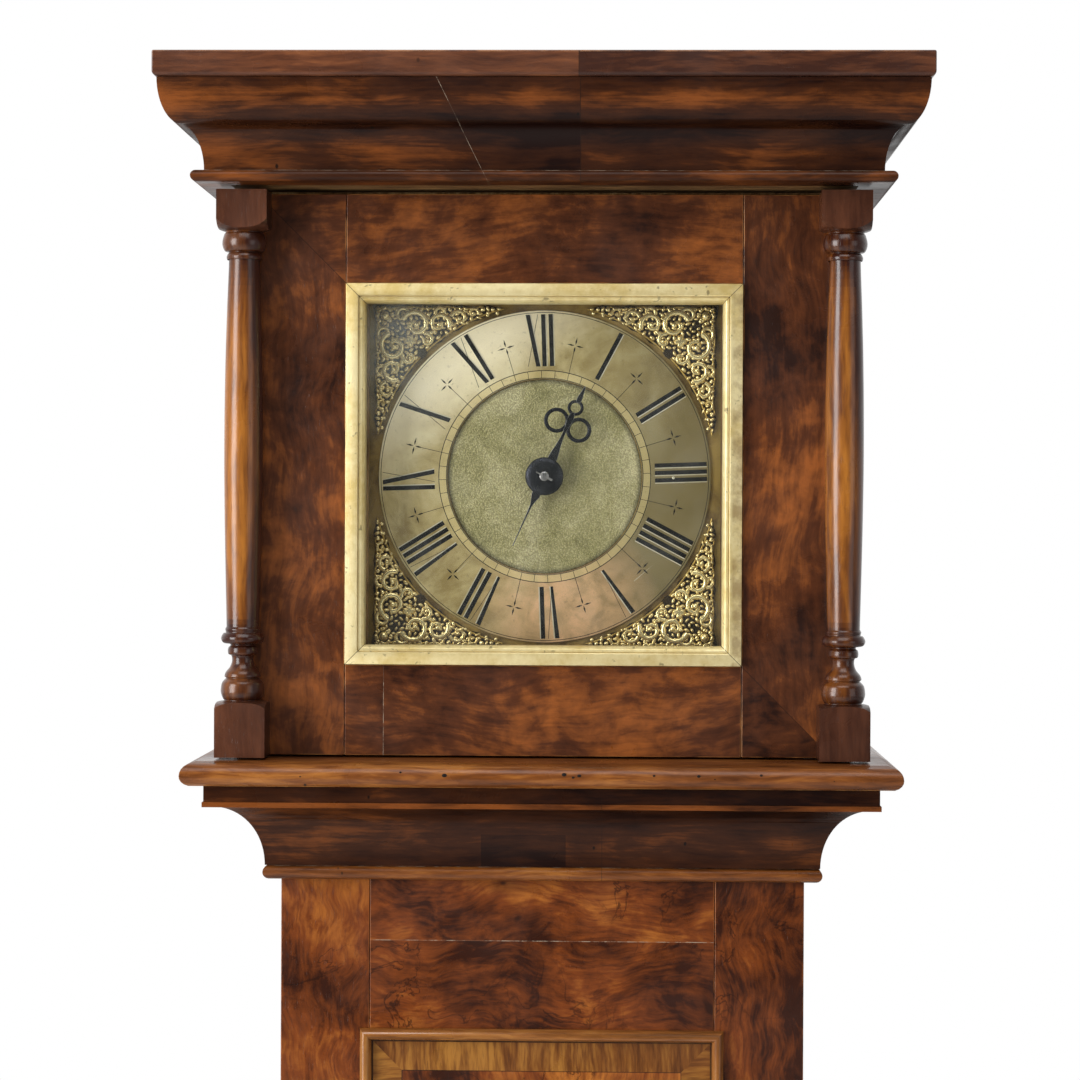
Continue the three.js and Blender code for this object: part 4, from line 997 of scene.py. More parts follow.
@dataclass(frozen=True)
class RingFinish(Finish):
    """The chapter ring: brass brushed round its middle, with a painted sheen at the upper left,
    painted shade and browner tarnish to the right, and warm tarnish low in the middle."""

    centre: Triple = (0, 0, 0)
    track: Pair = (0.0699, 0.0752)
    track_edge: float = 0.0003
    painted_sheen_end: Pair = (-0.1, -0.06)
    warm: Pair = (0.014, -0.095)
    turns: float = 2600.0

    def lay(self, recipe: Recipe) -> None:
        """Lays the nodes of the ring."""
        place = recipe.place()
        x, z = self.centre[0], self.centre[2]
        spot, radius = recipe.around(place, x, z)
        turned = recipe.product(radius, self.turns)
        rings = recipe.node("ShaderNodeCombineXYZ", {"X": turned}).outputs[0]
        brush = recipe.noise(recipe.added(rings, recipe.mapped(spot, (9, 9, 9))), 1.0, 3, 0.6)
        patch = recipe.noise(spot, 20, 6, 0.62, 0.8)
        cloud = recipe.noise(spot, 60, 5, 0.6, 0.6)
        colour = recipe.ramp(
            recipe.sum(recipe.product(patch, 0.7), recipe.product(cloud, 0.3)),
            (0.38, "9e8a52"), (0.5, "c3b27a"), (0.62, "dbd09f"),
        )
        parts = recipe.parts(spot)
        # Painted shade, with some tarnish: browner towards the right and lower down.
        toward_painted_shade = recipe.sum(parts["X"], recipe.product(parts["Z"], -0.45))
        colour = recipe.stain(colour, "7a6d43", recipe.span(toward_painted_shade, -0.03, 0.08, 0.0, 0.92))
        # Painted sheen: paler towards the upper left.
        below = recipe.sum(recipe.product(parts["X"], 0.6), recipe.product(parts["Z"], -0.8))
        colour = recipe.stain(colour, "fdf3cf", recipe.span(below, *self.painted_sheen_end, 0.9, 0.0))
        near = recipe.around(place, x + self.warm[0], z + self.warm[1])[1]
        broken = recipe.span(cloud, 0.35, 0.6, 0.45, 1.0)
        colour = recipe.stain(colour, "e9bd8d", recipe.fall(near, 0.02, 0.07), broken, 0.9)
        inner, outer = self.track
        track = recipe.product(
            recipe.span(radius, inner, inner + self.track_edge),
            recipe.fall(radius, outer, outer + self.track_edge),
        )
        colour = recipe.stain(colour, "ddcb8c", track, 0.5)
        speck = recipe.span(recipe.noise(spot, 300, 3, 0.6), 0.6, 0.72)
        colour = recipe.stain(colour, "5f512c", speck, 0.35)
        # Painted shade on the ring's rounded edges.
        colour = recipe.stain(colour, "5b4c28", recipe.mark(Mark.WEAR_AND_EDGE_SHADE), 0.5)
        dull = recipe.span(patch, 0.35, 0.65, 0.36, 0.5)
        streak = recipe.span(brush, 0.3, 0.7, -0.05, 0.05)
        recipe.dress(
            Base_Color=colour, Roughness=recipe.sum(dull, streak),
            # Less metallic under the painted sheen, which makes the upper left paler still.
            Metallic=recipe.span(below, *self.painted_sheen_end, 0.05, 0.3),
            Normal=recipe.bump(brush, 0.00003),
        )


@dataclass(frozen=True)
class WaxFinish(Finish):
    """Black wax in the engraving, greyer where it is rubbed."""

    black: str = "0b0a0c"
    grey: str = "2c2a28"

    def lay(self, recipe: Recipe) -> None:
        """Lays the nodes of the wax."""
        rub = recipe.noise(recipe.place(), 260, 4, 0.6)
        recipe.dress(
            Base_Color=recipe.ramp(rub, (0.5, self.black), (0.72, self.grey)),
            Roughness=recipe.span(rub, 0.35, 0.7, 0.35, 0.6), Specular_IOR_Level=0.12,
            Normal=recipe.bump(rub, 0.00005),
        )


@dataclass(frozen=True)
class GlassFinish(Finish):
    """Old window glass with a slow wave, and a hazy painted reflection, thicker up at the left."""

    reflection_across: Pair = (-0.125, -0.055)
    reflection_up: Pair = (1.72, 1.79)
    painted_reflection: float = 0.13

    def lay(self, recipe: Recipe) -> None:
        """Lays the nodes of the glass."""
        place = recipe.place()
        smear = recipe.noise(place, 35, 5, 0.65)
        edge = recipe.node("ShaderNodeLayerWeight", {"Blend": 0.25}).outputs["Facing"]
        parts = recipe.parts(place)
        left = recipe.fall(parts["X"], *self.reflection_across)
        up = recipe.span(parts["Z"], *self.reflection_up)
        # Painted reflection up at the left, as a pale haze.
        painted_reflection = recipe.product(left, up, recipe.span(smear, 0.3, 0.6, 0.5, 1.0), self.painted_reflection)
        seen = recipe.span(edge, 0.0, 1.0, 0.01, 0.6)
        recipe.dress(
            Base_Color=recipe.blend(recipe.span(smear, 0.4, 0.7), tint("c8d0c8"), tint("d4d8d4")),
            Roughness=recipe.span(smear, 0.45, 0.7, 0.02, 0.1),
            Alpha=recipe.sum(seen, recipe.span(smear, 0.4, 0.7, 0.0, 0.02), painted_reflection),
            Normal=recipe.bump(recipe.noise(place, 16, 2), 0.0006),
        )
        recipe.material.surface_render_method = "BLENDED"


@dataclass(frozen=True)
class FloorFinish(Finish):
    """A pale, plain floor."""

    glow: float = 0.45

    def lay(self, recipe: Recipe) -> None:
        """Lays the nodes of the floor."""
        mottle = recipe.noise(recipe.place(), 3, 4)
        seen = recipe.node("ShaderNodeLightPath").outputs["Is Camera Ray"]
        recipe.dress(
            Base_Color=recipe.ramp(mottle, (0.4, "e9e8e6"), (0.6, "eeedeb")), Roughness=0.8,
            Emission_Color=(1, 1, 1, 1), Emission_Strength=recipe.product(seen, self.glow),
        )


BURR = WoodFinish(
    "burr_walnut", dark="321407", middle="733813", light="aa6527", worn="985723", cloud=13.0,
    figure=50.0, swirl=13.0, flow=0.055, stretch=1.3, line=280.0, line_share=0.2, knot_share=0.85,
    crack_share=0.7,
)
DOOR_WALNUT = WoodFinish(
    "door_walnut", dark="27120a", middle="552d17", light="925224", cloud=11.0, figure=70.0,
    swirl=8.0, flow=0.05, stretch=1.3, line_share=0.16, streak_share=0.12,
)
CROSSBAND = WoodFinish(
    "crossband_walnut", dark="43210a", middle="714218", light="9d6a2c", figure=90.0, stretch=4.0,
    line=330.0, line_share=0.35, streak_share=0.3,
)
MOULDING = WoodFinish(
    "moulding_walnut", dark="1b0a06", middle="3c1e0d", light="7c431b", worn="7b461f", cloud=10.0,
    stretch=2.6, line_share=0.18, streak_share=0.12, hole_share=0.9, rough=(0.26, 0.42),
    coat=0.04, shine=0.15,
)
TOP_WALNUT = WoodFinish(
    "top_board_walnut", dark="3a2017", middle="643a24", light="8d5632", worn="9a6a44",
    stretch=5.0, line_share=0.3, hole_share=0.5,
)
NOSE = WoodFinish(
    "nose_walnut", dark="42210d", middle="78431a", light="b07133", worn="ae7b41", stretch=4.0,
    line_share=0.3, hole_share=1.0,
)
LIP = WoodFinish(
    "lip_walnut", dark="502c0c", middle="834f20", light="ac7539", worn="b48247", figure=50.0,
    stretch=5.0,
)
COLUMN = WoodFinish(
    "column_walnut", dark="331307", middle="6f3d12", light="a76824", worn="a26931", cloud=7.0,
    stretch=7.0, line=160.0, line_share=0.3, streak_share=0.3, rough=(0.22, 0.36), coat=0.4,
)
HOLLOW = WoodFinish(
    "worm_hole", dark="050302", middle="0d0704", light="1c1009", worn="1c1009", rough=(0.7, 0.9),
    coat=0.0,
)
BLOCK = WoodFinish(
    "block_walnut", dark="33190f", middle="54301f", light="734630", worn="8f6244", stretch=3.0,
    line_share=0.15, streak_share=0.1,
)
OAK = WoodFinish(
    "oak", dark="4a3218", middle="86643a", light="b39260", worn="a88a5c", joint="2a1c0e",
    figure=16.0, stretch=9.0, line=300.0, line_share=0.4, streak_share=0.35, rough=(0.6, 0.8),
    coat=0.0, pore_share=0.5, pore_depth=0.0003, wave_depth=0.0004,
)
GILT = MetalFinish(
    "bezel_brass", bright="efdfaa", dull="cdb470", edge="fff2c4", metallic=0.4,
    rough=(0.28, 0.4), patch=12.0, spots=0.55,
)
BRASS = MetalFinish("movement_brass")
BELL_METAL = MetalFinish("bell_metal", bright="cbb184", dull="8c7348", rough=(0.22, 0.4))
STEEL = MetalFinish("steel", bright="b4b4b2", dull="6f6e6b", edge="dcdcd8", patch=40.0)
BLUED = MetalFinish(
    "blued_steel", bright="2a2c33", dull="17171b", edge="b9bab4", metallic=0.85,
    rough=(0.26, 0.42), patch=60.0, edge_share=0.7,
)
IRON = MetalFinish(
    "iron", bright="5a5a5a", dull="3a322c", edge="8a8884", metallic=0.7, rough=(0.45, 0.7),
    grit=400.0, grit_depth=0.0004,
)
BRIGHT_LINE = MetalFinish(
    "bright_line", bright="e6e2cc", dull="c2bc9c", metallic=0.5, rough=(0.35, 0.5),
)
WAX = WaxFinish("black_wax")
GLASS = GlassFinish("window_glass")


def put(name: str, data: bpy.types.ID) -> bpy.types.Object:
    """Puts an object with the given data in the scene."""
    thing = bpy.data.objects.new(name, data)
    bpy.context.scene.collection.objects.link(thing)
    return thing


def deliver(
    shape: Shape, name: str, body: Body, finish: Finish, replaces: Sequence[str] = (),
) -> bpy.types.Object:
    """Names a piece, dresses it and sets it on its body.

    Args:
        shape: The shape, which is used up.
        name: Name of the piece.
        body: Body that it rides on.
        finish: Its finish.
        replaces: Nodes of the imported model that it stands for.

    Returns:
        The finished object.
    """
    piece = put(name, shape.mesh(name))
    piece.data.materials.append(finish.material())
    even = piece.modifiers.new("even_normals", "WEIGHTED_NORMAL")
    even.keep_sharp = True
    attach(piece, body.value)
    if replaces:
        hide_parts(*replaces)
    LOG.info("%s on %s: %d faces, %s", name, body.value, len(piece.data.polygons), finish.name)
    return piece


def stand_in(
    shape: Shape, node: str, ending: str, body: Body, finish: Finish,
) -> bpy.types.Object:
    """Delivers a piece that stands for one node, under the node's name and an ending."""
    return deliver(shape, f"{node}_{ending}", body, finish, [node])


def add_finish(
    piece: bpy.types.Object, finish: Finish, chosen: Callable[[bpy.types.MeshPolygon], bool],
) -> None:
    """Gives some faces of a finished piece one more finish.

    Args:
        piece: The piece.
        finish: The further finish.
        chosen: Tells whether a face has it.
    """
    piece.data.materials.append(finish.material())
    last = len(piece.data.materials) - 1
    for face in piece.data.polygons:
        if chosen(face):
            face.material_index = last


def dress(node: str, finish: Finish) -> None:
    """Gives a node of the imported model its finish.

    Args:
        node: Name of the node.
        finish: Its finish.
    """
    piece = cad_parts[node]
    if not piece.data.materials:
        piece.data.materials.append(None)
    for holder in piece.material_slots:
        holder.material = finish.material()
    LOG.info("%s dressed with %s", node, finish.name)


def middle_of(node: str) -> Vector:
    """The middle of a node's box."""
    low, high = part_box(node)
    return (low + high) / 2


def bead_line(projection: float, foot: float, thick: float) -> list[Pair]:
    """The half round of a bead, from its foot up."""
    half = thick / 2
    return arc((projection - half, foot + half), (half, half), -90, 90, 12)


@dataclass
class Cornice:
    """Top board and cornice moulding of the hood, each in two lengths that meet off centre."""

    joint_x: float = 0.0245
    joint_step: float = 0.001
    joint: float = 0.0006
    bead: float = 0.008
    bead_projection: float = 0.025
    ogee_foot: float = 0.0165
    ogee_head: float = 0.045
    crack: Pair = (-0.072, 2.0)
    crack_width: float = 0.0003
    board_round: float = 0.0035
    board_ease: float = 0.0012
    right_pale: float = -0.75
    core_reach: float = 0.0005

    def __post_init__(self) -> None:
        """Takes the moulding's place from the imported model."""
        self.low, self.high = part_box("cornice_moulding")
        self.half = self.high.x - self.ogee_head
        self.front = self.low.y + self.ogee_head

    def top_board(self) -> Shape:
        """The board on top, rounded below its front and sides.

        Returns:
            The shape.
        """
        low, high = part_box("hood_top_board")
        shape = Shape().block(low, high)
        under = [
            e for e in shape.bm.edges
            if all(v.co.z < low.z + MERGED for v in e.verts)
            and not all(v.co.y > high.y - MERGED for v in e.verts)
        ]
        shape.rounded(under, self.board_round, 5)
        shape.eased(self.board_ease, 3).laid(ALONG, (0.3, 0.1, 0.7))
        right = shape.jointed((self.joint_x, 0, 0), (1, 0, 0), self.joint, (1.1, 0.4, 0.2))
        shape.mark(right, Mark.LIGHT, self.right_pale)
        return shape

    def moulding(self) -> Shape:
        """Bead, hollow and swelling curve, mitred round the front.

        Returns:
            The shape.
        """
        foot, head = self.low.z, self.high.z
        bead_top = foot + self.bead
        rise = (head - bead_top) / 2
        mid = (self.ogee_foot + self.ogee_head) / 2
        reach = (self.ogee_head - self.ogee_foot) / 2
        section = [
            (0.0, foot), *bead_line(self.bead_projection, foot, self.bead),
            *arc((mid, bead_top), (reach, rise), 180, 90, 14),
            *arc((mid, head), (reach, rise), 270, 360, 14)[1:],
            (0.0, head),
        ]
        shape = Shape().swept(section, run_round_front(self.half, self.front, self.high.y))
        shape.laid(ALONG, (0.2, 0.5, 0.1))
        shape.scored((self.joint_x + self.joint_step, 0, 0), (1, 0, 0), self.joint)
        shape.relaid(shape.beyond((self.joint_x, 0, 0), (1, 0, 0)), ALONG, (0.9, 0.2, 0.6))
        shape.scored((self.crack[0], 0, head), (self.crack[1], 0, 1), self.crack_width, Mark.DUST)
        # Painted shade above the bead and atop the hollow, painted highlight on the swell.
        shape.painted_light_by_height([
            (bead_top - 0.0002, 0.1), (bead_top, -0.4), (bead_top + rise * 0.45, 0.0),
            (head - rise * 1.1, -0.9), (head - rise * 0.5, 0.8), (head, -0.2),
        ])
        return shape.dusty(bead_top)

    def core(self) -> Shape:
        """The boards behind the moulding, over the door. They reach just into its back."""
        low = (-self.half, self.front - self.core_reach, self.low.z)
        high = (self.half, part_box("hood_side_left")[0].y - SEAT, self.high.z)
        return Shape().block(low, high).laid(ALONG)

    def build(self) -> None:
        """Makes the pieces."""
        stand_in(self.top_board(), "hood_top_board", "walnut", Body.HOOD, TOP_WALNUT)
        deliver(
            self.moulding(), "cornice_run", Body.HOOD, MOULDING,
            ["cornice_moulding"],
        )
        deliver(self.core(), "cornice_core", Body.HOOD, OAK)


@dataclass
class HoodShell:
    """Sides, mask and floor moulding of the hood."""

    dents: tuple[Triple, ...] = (
        (-0.164, -0.001, 0.9), (-0.111, -0.0028, 1.3), (-0.0955, 0.0024, 0.8),
        (-0.0654, 0.0004, 1.7), (0.0163, 0.0015, 1.6), (0.0225, -0.0004, 1.1),
        (0.0266, 0.0008, 1.3), (0.0708, -0.0022, 1.5), (0.0776, 0.0012, 0.9),
        (0.0947, -0.0026, 1.1), (0.108, 0.001, 1.2), (0.119, -0.001, 0.8), (0.1505, 0.0019, 1.0),
        (0.2, -0.0015, 1.2),
    )
    dent: Triple = (0.0011, 0.0005, 0.0008)
    sunk: float = 0.7

    def worm_holes(self) -> Shape:
        """Worm holes and dents along the nose.

        Returns:
            The shape.
        """
        low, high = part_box("hood_base_moulding")
        shape, half = Shape(), (high.z - low.z) / 2
        for x, up, size in self.dents:
            fall = half - math.sqrt(half * half - up * up)
            radii = (self.dent[0] * size, self.dent[1], self.dent[2] * size)
            shape.ball((x, low.y + fall + self.dent[1] * self.sunk, low.z + half + up), radii)
        return shape

    def build(self) -> None:
        """Makes the pieces."""
        for side, shift in (("left", (0.1, 0.4, 0.3)), ("right", (0.6, 0.9, 0.1))):
            board = Shape(f"hood_side_{side}").eased().laid(0.0, shift)
            stand_in(board, f"hood_side_{side}", "veneered", Body.HOOD, DOOR_WALNUT)
        nose = Shape("hood_base_moulding").eased(0.001, 2, 40).laid(ALONG, (0.4, 0.2, 0.9))
        deliver(nose, "hood_base_run", Body.HOOD, NOSE, ["hood_base_moulding"])
        deliver(self.worm_holes(), "hood_base_worm_holes", Body.HOOD, HOLLOW)
        dress("dial_mask", OAK)


@dataclass
class HoodDoor:
    """Veneered door of the hood with its glazing bezel, glass and turned columns."""

    shares: tuple[Pair, ...] = (
        (1.47, 0), (1.47, 0.084), (1.24, 0.093), (0.94, 0.0972), (0.74, 0.0992),
        (0.79, 0.103), (0.86, 0.112), (0.865, 0.1196), (0.82, 0.13), (0.71, 0.136),
        (0.66, 0.1387), (0.72, 0.1415), (0.67, 0.149), (0.51, 0.158), (0.43, 0.168),
        (0.45, 0.178), (0.565, 0.1807), (0.595, 0.1868), (0.565, 0.193), (0.51, 0.195),
        (0.51, 0.1985), (0.775, 0.201), (0.865, 0.209), (0.775, 0.2176), (0.68, 0.2193),
        (0.7, 0.225), (0.66, 0.229), (0.65, 0.234), (0.7, 0.331), (0.75, 0.445),
        (0.77, 0.56), (0.74, 0.687), (0.68, 0.789), (0.61, 0.8766), (0.68, 0.879),
        (0.7, 0.884), (0.66, 0.889), (0.61, 0.892), (0.77, 0.8944), (0.86, 0.903),
        (0.87, 0.912), (0.8, 0.9237), (0.75, 0.928), (1, 0.9326), (1.24, 0.939),
        (1.47, 0.9517), (1.47, 1),
    )
    shaft: Pair = (0.0985, 0.9292)
    # Painted shade at the columns' rings and ends, painted highlight up the middle of the shaft.
    pale: tuple[Pair, ...] = (
        (0.09, 0.0), (0.1, -0.7), (0.13, -0.1), (0.18, -0.7), (0.21, -1.0), (0.228, -0.9),
        (0.25, 0.1), (0.45, 0.6), (0.7, 0.5), (0.82, 0.0), (0.88, -0.9), (0.925, -0.8),
        (0.935, 0.0),
    )
    bezel_proud: float = 0.007
    bezel_width: float = 0.0138
    bezel_groove: float = 0.009
    bezel_gap: float = 0.0007
    bezel_ease: float = 0.0009
    mitre: float = 0.0005
    patch_x: float = -0.1115
    patch_joint: float = 0.0004
    right_facing_shade: float = -1.8

    def board(self, shape: Shape, node: str) -> None:
        """Sets a stile or rail on the door."""
        stand_in(shape, node, "veneered", Body.HOOD_DOOR, DOOR_WALNUT)

    def boards(self) -> None:
        """Stiles and rails, with the mitres and joints of their veneer."""
        low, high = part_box("glazing_bezel")
        left = Shape("hood_door_stile_left").eased(0.0007).laid(0.0, (0.15, 0.33, 0.42), 0.1)
        left.jointed((low.x, 0, high.z), (1, 0, 1), self.mitre, (0.5, 0.2, 0.15))
        self.board(left, "hood_door_stile_left")
        right = Shape("hood_door_stile_right").eased(0.0007).laid(0.0, (0.72, 0.13, 0.61), -0.3)
        right.jointed((high.x, 0, low.z), (-1, 0, -1), self.mitre, (0.9, 0.6, 0.35))
        self.board(right, "hood_door_stile_right")
        top = Shape("hood_door_top_rail").eased(0.0006).laid(ALONG, (0.31, 0.77, 0.25))
        self.board(top, "hood_door_top_rail")
        foot = Shape("hood_door_bottom_rail").eased(0.0006).laid(ALONG, (0.83, 0.21, 0.55), 0.15)
        foot.jointed(
            (self.patch_x, 0, 0), (-1, 0, 0), self.patch_joint, (0.4, 0.5, 0.1), Mark.DUST,
        )
        self.board(foot, "hood_door_bottom_rail")

    def bezel(self) -> Shape:
        """Mitred brass frame: a flat, a groove and a rounded strip that slopes to the glass.

        Returns:
            The shape.
        """
        low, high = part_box("glazing_bezel")
        glass_low, glass_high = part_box("hood_door_glass")
        half = (high.x, (high.z - low.z) / 2)
        front, back, proud = low.y, high.y, self.bezel_proud
        width, groove, ease = self.bezel_width, self.bezel_groove, self.bezel_ease
        rebate, seat = glass_low.y - SEAT, high.x - glass_high.x - SEAT
        strip = groove + self.bezel_gap
        section = [
            (0.0, back), (0.0, front + proud * 0.5),
            *arc((ease, front + proud * 0.5), (ease, proud * 0.12), 180, 270, 4),
            (groove * 0.5, front + proud * 0.14), (groove * 0.9, front),
            (groove, front + proud * 0.08), (groove, front + proud * 0.4),
            (strip, front + proud * 0.4), (strip, front + proud * 0.22),
            *arc((strip, front + proud), (width - strip, proud * 0.78), 290, 350, 8),
            (width, rebate), (seat, rebate), (seat, back),
        ]
        stations = run_round_opening(half, (low.z + high.z) / 2)
        return Shape().swept(section, stations, endless=True).eased(0.0002, 1, 50)

    def column(self, side: str) -> Shape:
        """A turned column with square blocks at both ends.

        Args:
            side: Left or right.

        Returns:
            The shape.
        """
        low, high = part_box(f"hood_column_{side}")
        half, height = (high.x - low.x) / 2, high.z - low.z
        centre = Vector(((low.x + high.x) / 2, low.y + half, 0))
        line = [(r * half, low.z + h * height) for r, h in self.shares]
        fine = [line[0], *flowing(line[1:-1], 7), line[-1]]
        points = [(centre.x, centre.y, low.z)]
        points += [(centre.x + r, centre.y, z) for r, z in fine]
        points += [(centre.x, centre.y, high.z)]
        turned = Shape().turned(points, centre, (0, 0, 1), 64)
        return both_in(turned, Shape().block(low, high))

    def build(self) -> None:
        """Makes the pieces."""
        self.boards()
        low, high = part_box("glazing_bezel")
        gilt = replace(GILT, mitre=(high.x - (high.z - low.z) / 2, (low.z + high.z) / 2))
        stand_in(self.bezel(), "glazing_bezel", "brass", Body.HOOD_DOOR, gilt)
        dress("hood_door_glass", GLASS)
        # Painted shade on faces that look right, and on the whole right column.
        for side, shift, painted_shade in (("left", (0.2, 0.6, 0.5), 0.0), ("right", (0.8, 0.3, 0.2), 0.4)):
            node = f"hood_column_{side}"
            low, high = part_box(node)
            tall = high.z - low.z
            levels = [(low.z + share * tall, pale - painted_shade) for share, pale in self.pale]
            column = self.column(side).laid(0.0, shift).painted_light_by_height(levels)
            column.painted_side_shade((1, 0, 0), self.right_facing_shade)
            piece = stand_in(column, node, "turned", Body.HOOD_DOOR, COLUMN)
            foot, head = (low.z + share * tall for share in self.shaft)
            add_finish(piece, BLOCK, lambda face: not foot < face.center.z < head)


def both_in(first: Shape, second: Shape) -> Shape:
    """Keeps what two shapes share.

    Args:
        first: One closed shape.
        second: The other.

    Returns:
        The common part, with the same marks as any shape.
    """
    holders = [put("cutting", shape.mesh("cutting")) for shape in (first, second)]
    cut = holders[0].modifiers.new("common", "BOOLEAN")
    cut.operation, cut.object, cut.solver = "INTERSECT", holders[1], "EXACT"
    ready = holders[0].evaluated_get(bpy.context.evaluated_depsgraph_get())
    kept = bpy.data.meshes.new_from_object(ready)
    shape = Shape()
    shape.bm.from_mesh(kept)
    bmesh.ops.remove_doubles(shape.bm, verts=shape.bm.verts[:], dist=CUT_MERGED)
    for holder in holders:
        bpy.data.objects.remove(holder)
    return shape


@dataclass
class Dial:
    """Chapter ring with its engraving, and the four corner castings."""

    outer: float = 0.118
    inner: float = 0.0693
    numerals: Pair = (0.0782, 0.1151)
    track: Pair = (0.0699, 0.0752)
    rim: float = 0.1164
    half_hours: float = 0.0952
    bar: float = 0.003
    pitch: float = 0.0053
    hair: float = 0.00035
    lean: float = -2.0
    proud: float = 0.00006
    cross: Quad = (0.0006, 0.0062, 0.0028, 0.0006)
    cross_stem: float = 0.0046
    bright_line: Pair = (0.0004, 0.0007)
    pin: Pair = (0.0914, -0.0006)
    pin_size: Triple = (0.0011, 0.0005, 0.0011)
    edge: float = 0.0003
    scratches: tuple[tuple[Pair, Pair], ...] = (
        ((0.0638, -0.0739), (0.0791, -0.0606)), ((-0.0619, -0.0682), (-0.0505, -0.0568)),
    )
    signs: tuple[str, ...] = (
        "XII", "I", "II", "III", "IIII", "V", "VI", "VII", "VIII", "IX", "X", "XI",
    )
    widths: dict[str, float] = field(default_factory=lambda: {"I": 1.0, "V": 1.7, "X": 1.9})

    def __post_init__(self) -> None:
        """Takes the ring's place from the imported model."""
        low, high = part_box("chapter_ring")
        self.centre = Vector((0.0, 0.0, (low.z + high.z) / 2))
        self.face, self.back = low.y, high.y
        self.raised = Vector((0, -self.proud, 0))

    def spot(self, clock_angle: float, across: float, radius: float) -> Vector:
        """A place on the ring's face.

        Args:
            clock_angle: Degrees past twelve.
            across: Distance to the side, clockwise.
            radius: Distance from the middle.

        Returns:
            The place.
        """
        a = math.radians(clock_angle + self.lean)
        x = math.sin(a) * radius + math.cos(a) * across
        z = math.cos(a) * radius - math.sin(a) * across
        return Vector((x, self.face, self.centre.z + z))

    def stroke(self, shape: Shape, angle: float, first: Triple, last: Triple) -> None:
        """Adds a tapering stroke.

        Args:
            shape: Where it goes.
            angle: Degrees past twelve of the sign that it is part of.
            first: How far across and out its first end is, and its width there.
            last: The same of its other end.
        """
        ends = [
            (across + side * width / 2, out)
            for (across, out, width), sides in ((first, (-1, 1)), (last, (1, -1)))
            for side in sides
        ]
        shape.prism([self.spot(angle, across, out) for across, out in ends], self.raised)

    def band(self, shape: Shape, inner: float, outer: float, back: float, front: float) -> None:
        """Adds a flat ring round the dial's middle."""
        corners = [(inner, back), (outer, back), (outer, front), (inner, front)]
        points = [(r, y, self.centre.z) for r, y in corners]
        shape.turned(points, self.centre, (0, 1, 0), 128, endless=True)

    def strokes_of(self, sign: str) -> list[tuple[Triple, Triple, bool]]:
        """The strokes of a numeral, standing at twelve.

        Args:
            sign: The numeral.

        Returns:
            First and last end of each stroke, and whether it is a thick one.
        """
        foot, head = self.numerals
        bar, hair, pitch = self.bar, self.hair, self.pitch
        width = sum(self.widths[letter] for letter in sign) * pitch
        at, strokes = -width / 2, []
        for letter in sign:
            reach = self.widths[letter] * pitch
            mid = at + reach / 2
            side = reach * 0.32
            if letter == "I":
                strokes.append(((mid, foot, bar), (mid, head, bar), True))
            elif letter == "V":
                strokes.append(((mid, foot, bar * 0.6), (mid - side, head, bar * 1.05), True))
                strokes.append(((mid, foot, hair), (mid + side * 1.2, head, hair), False))
            else:
                strokes.append(((mid + side, foot, bar), (mid - side, head, bar), True))
                strokes.append((
                    (mid - side * 1.2, foot, hair), (mid + side * 1.2, head, hair), False,
                ))
            at += reach
        return strokes

    def half_hour(self, shape: Shape, angle: float) -> None:
        """Adds the stem and the small cross that mark a half hour.

        Args:
            shape: Where they go.
            angle: Degrees past twelve.
        """
        middle, hair = self.half_hours, self.hair
        self.stroke(shape, angle, (0, self.track[1], hair), (0, middle - self.cross_stem, hair))
        near, far, swell, wide = self.cross
        for out, across in ((1, 0), (-1, 0), (0, 1), (0, -1)):
            tips = [
                (near * across, middle + near * out),
                (swell * across + wide * out, middle + swell * out + wide * across),
                (far * across, middle + far * out),
                (swell * across - wide * out, middle + swell * out - wide * across),
            ]
            shape.prism([self.spot(angle, a, r) for a, r in tips], self.raised)

    def engraving(self) -> tuple[Shape, Shape]:
        """Numerals, half-hour marks and the quarter-hour track.

        Returns:
            The black strokes, and the bright lines that stand beside the thick ones.
        """
        black, bright = Shape(), Shape()
        away, thin = self.bright_line
        for hour, sign in enumerate(self.signs):
            angle = hour * 30.0
            for first, last, thick in self.strokes_of(sign):
                self.stroke(black, angle, first, last)
                if thick:
                    beside = [(a + w / 2 + away, r, thin) for a, r, w in (first, last)]
                    self.stroke(bright, angle, *beside)
            self.half_hour(black, angle + 15.0)
        inner, outer = self.track
        for quarter in range(48):
            self.stroke(black, quarter * 7.5, (0, inner, self.hair), (0, outer, self.hair))
        for radius, line in ((inner, 1.2), (outer, 1.5), (self.rim, 1.2)):
            half = self.hair * line / 2
            self.band(black, radius - half, radius + half, self.face, self.face - self.proud)
        for (x0, z0), (x1, z1) in self.scratches:
            first = Vector((x0, self.face, self.centre.z + z0))
            last = Vector((x1, self.face, self.centre.z + z1))
            side = (last - first).cross(Vector((0, 1, 0))).normalized() * self.hair * 0.6
            bright.prism([first - side, first + side, last], self.raised)
        bright.ball((self.pin[0], self.face, self.centre.z + self.pin[1]), self.pin_size)
        return black, bright

    def build(self) -> None:
        """Makes the pieces."""
        middle = tuple(self.centre)
        dress("dial_plate", DialFinish("dial_brass", centre=middle))
        ring = Shape()
        self.band(ring, self.inner, self.outer, self.back, self.face)
        ring.eased(self.edge)
        brass = RingFinish("ring_brass", centre=middle, track=self.track)
        stand_in(ring, "chapter_ring", "brass", Body.CASE, brass)
        black, bright = self.engraving()
        deliver(black, "ring_engraving", Body.CASE, WAX)
        deliver(bright, "ring_bright_lines", Body.CASE, BRIGHT_LINE)
        for end, side_z in (("top", 1), ("bottom", -1)):
            Spandrel(f"spandrel_{end}_left", -1, side_z).build()
            Spandrel(f"spandrel_{end}_right", 1, side_z).build()


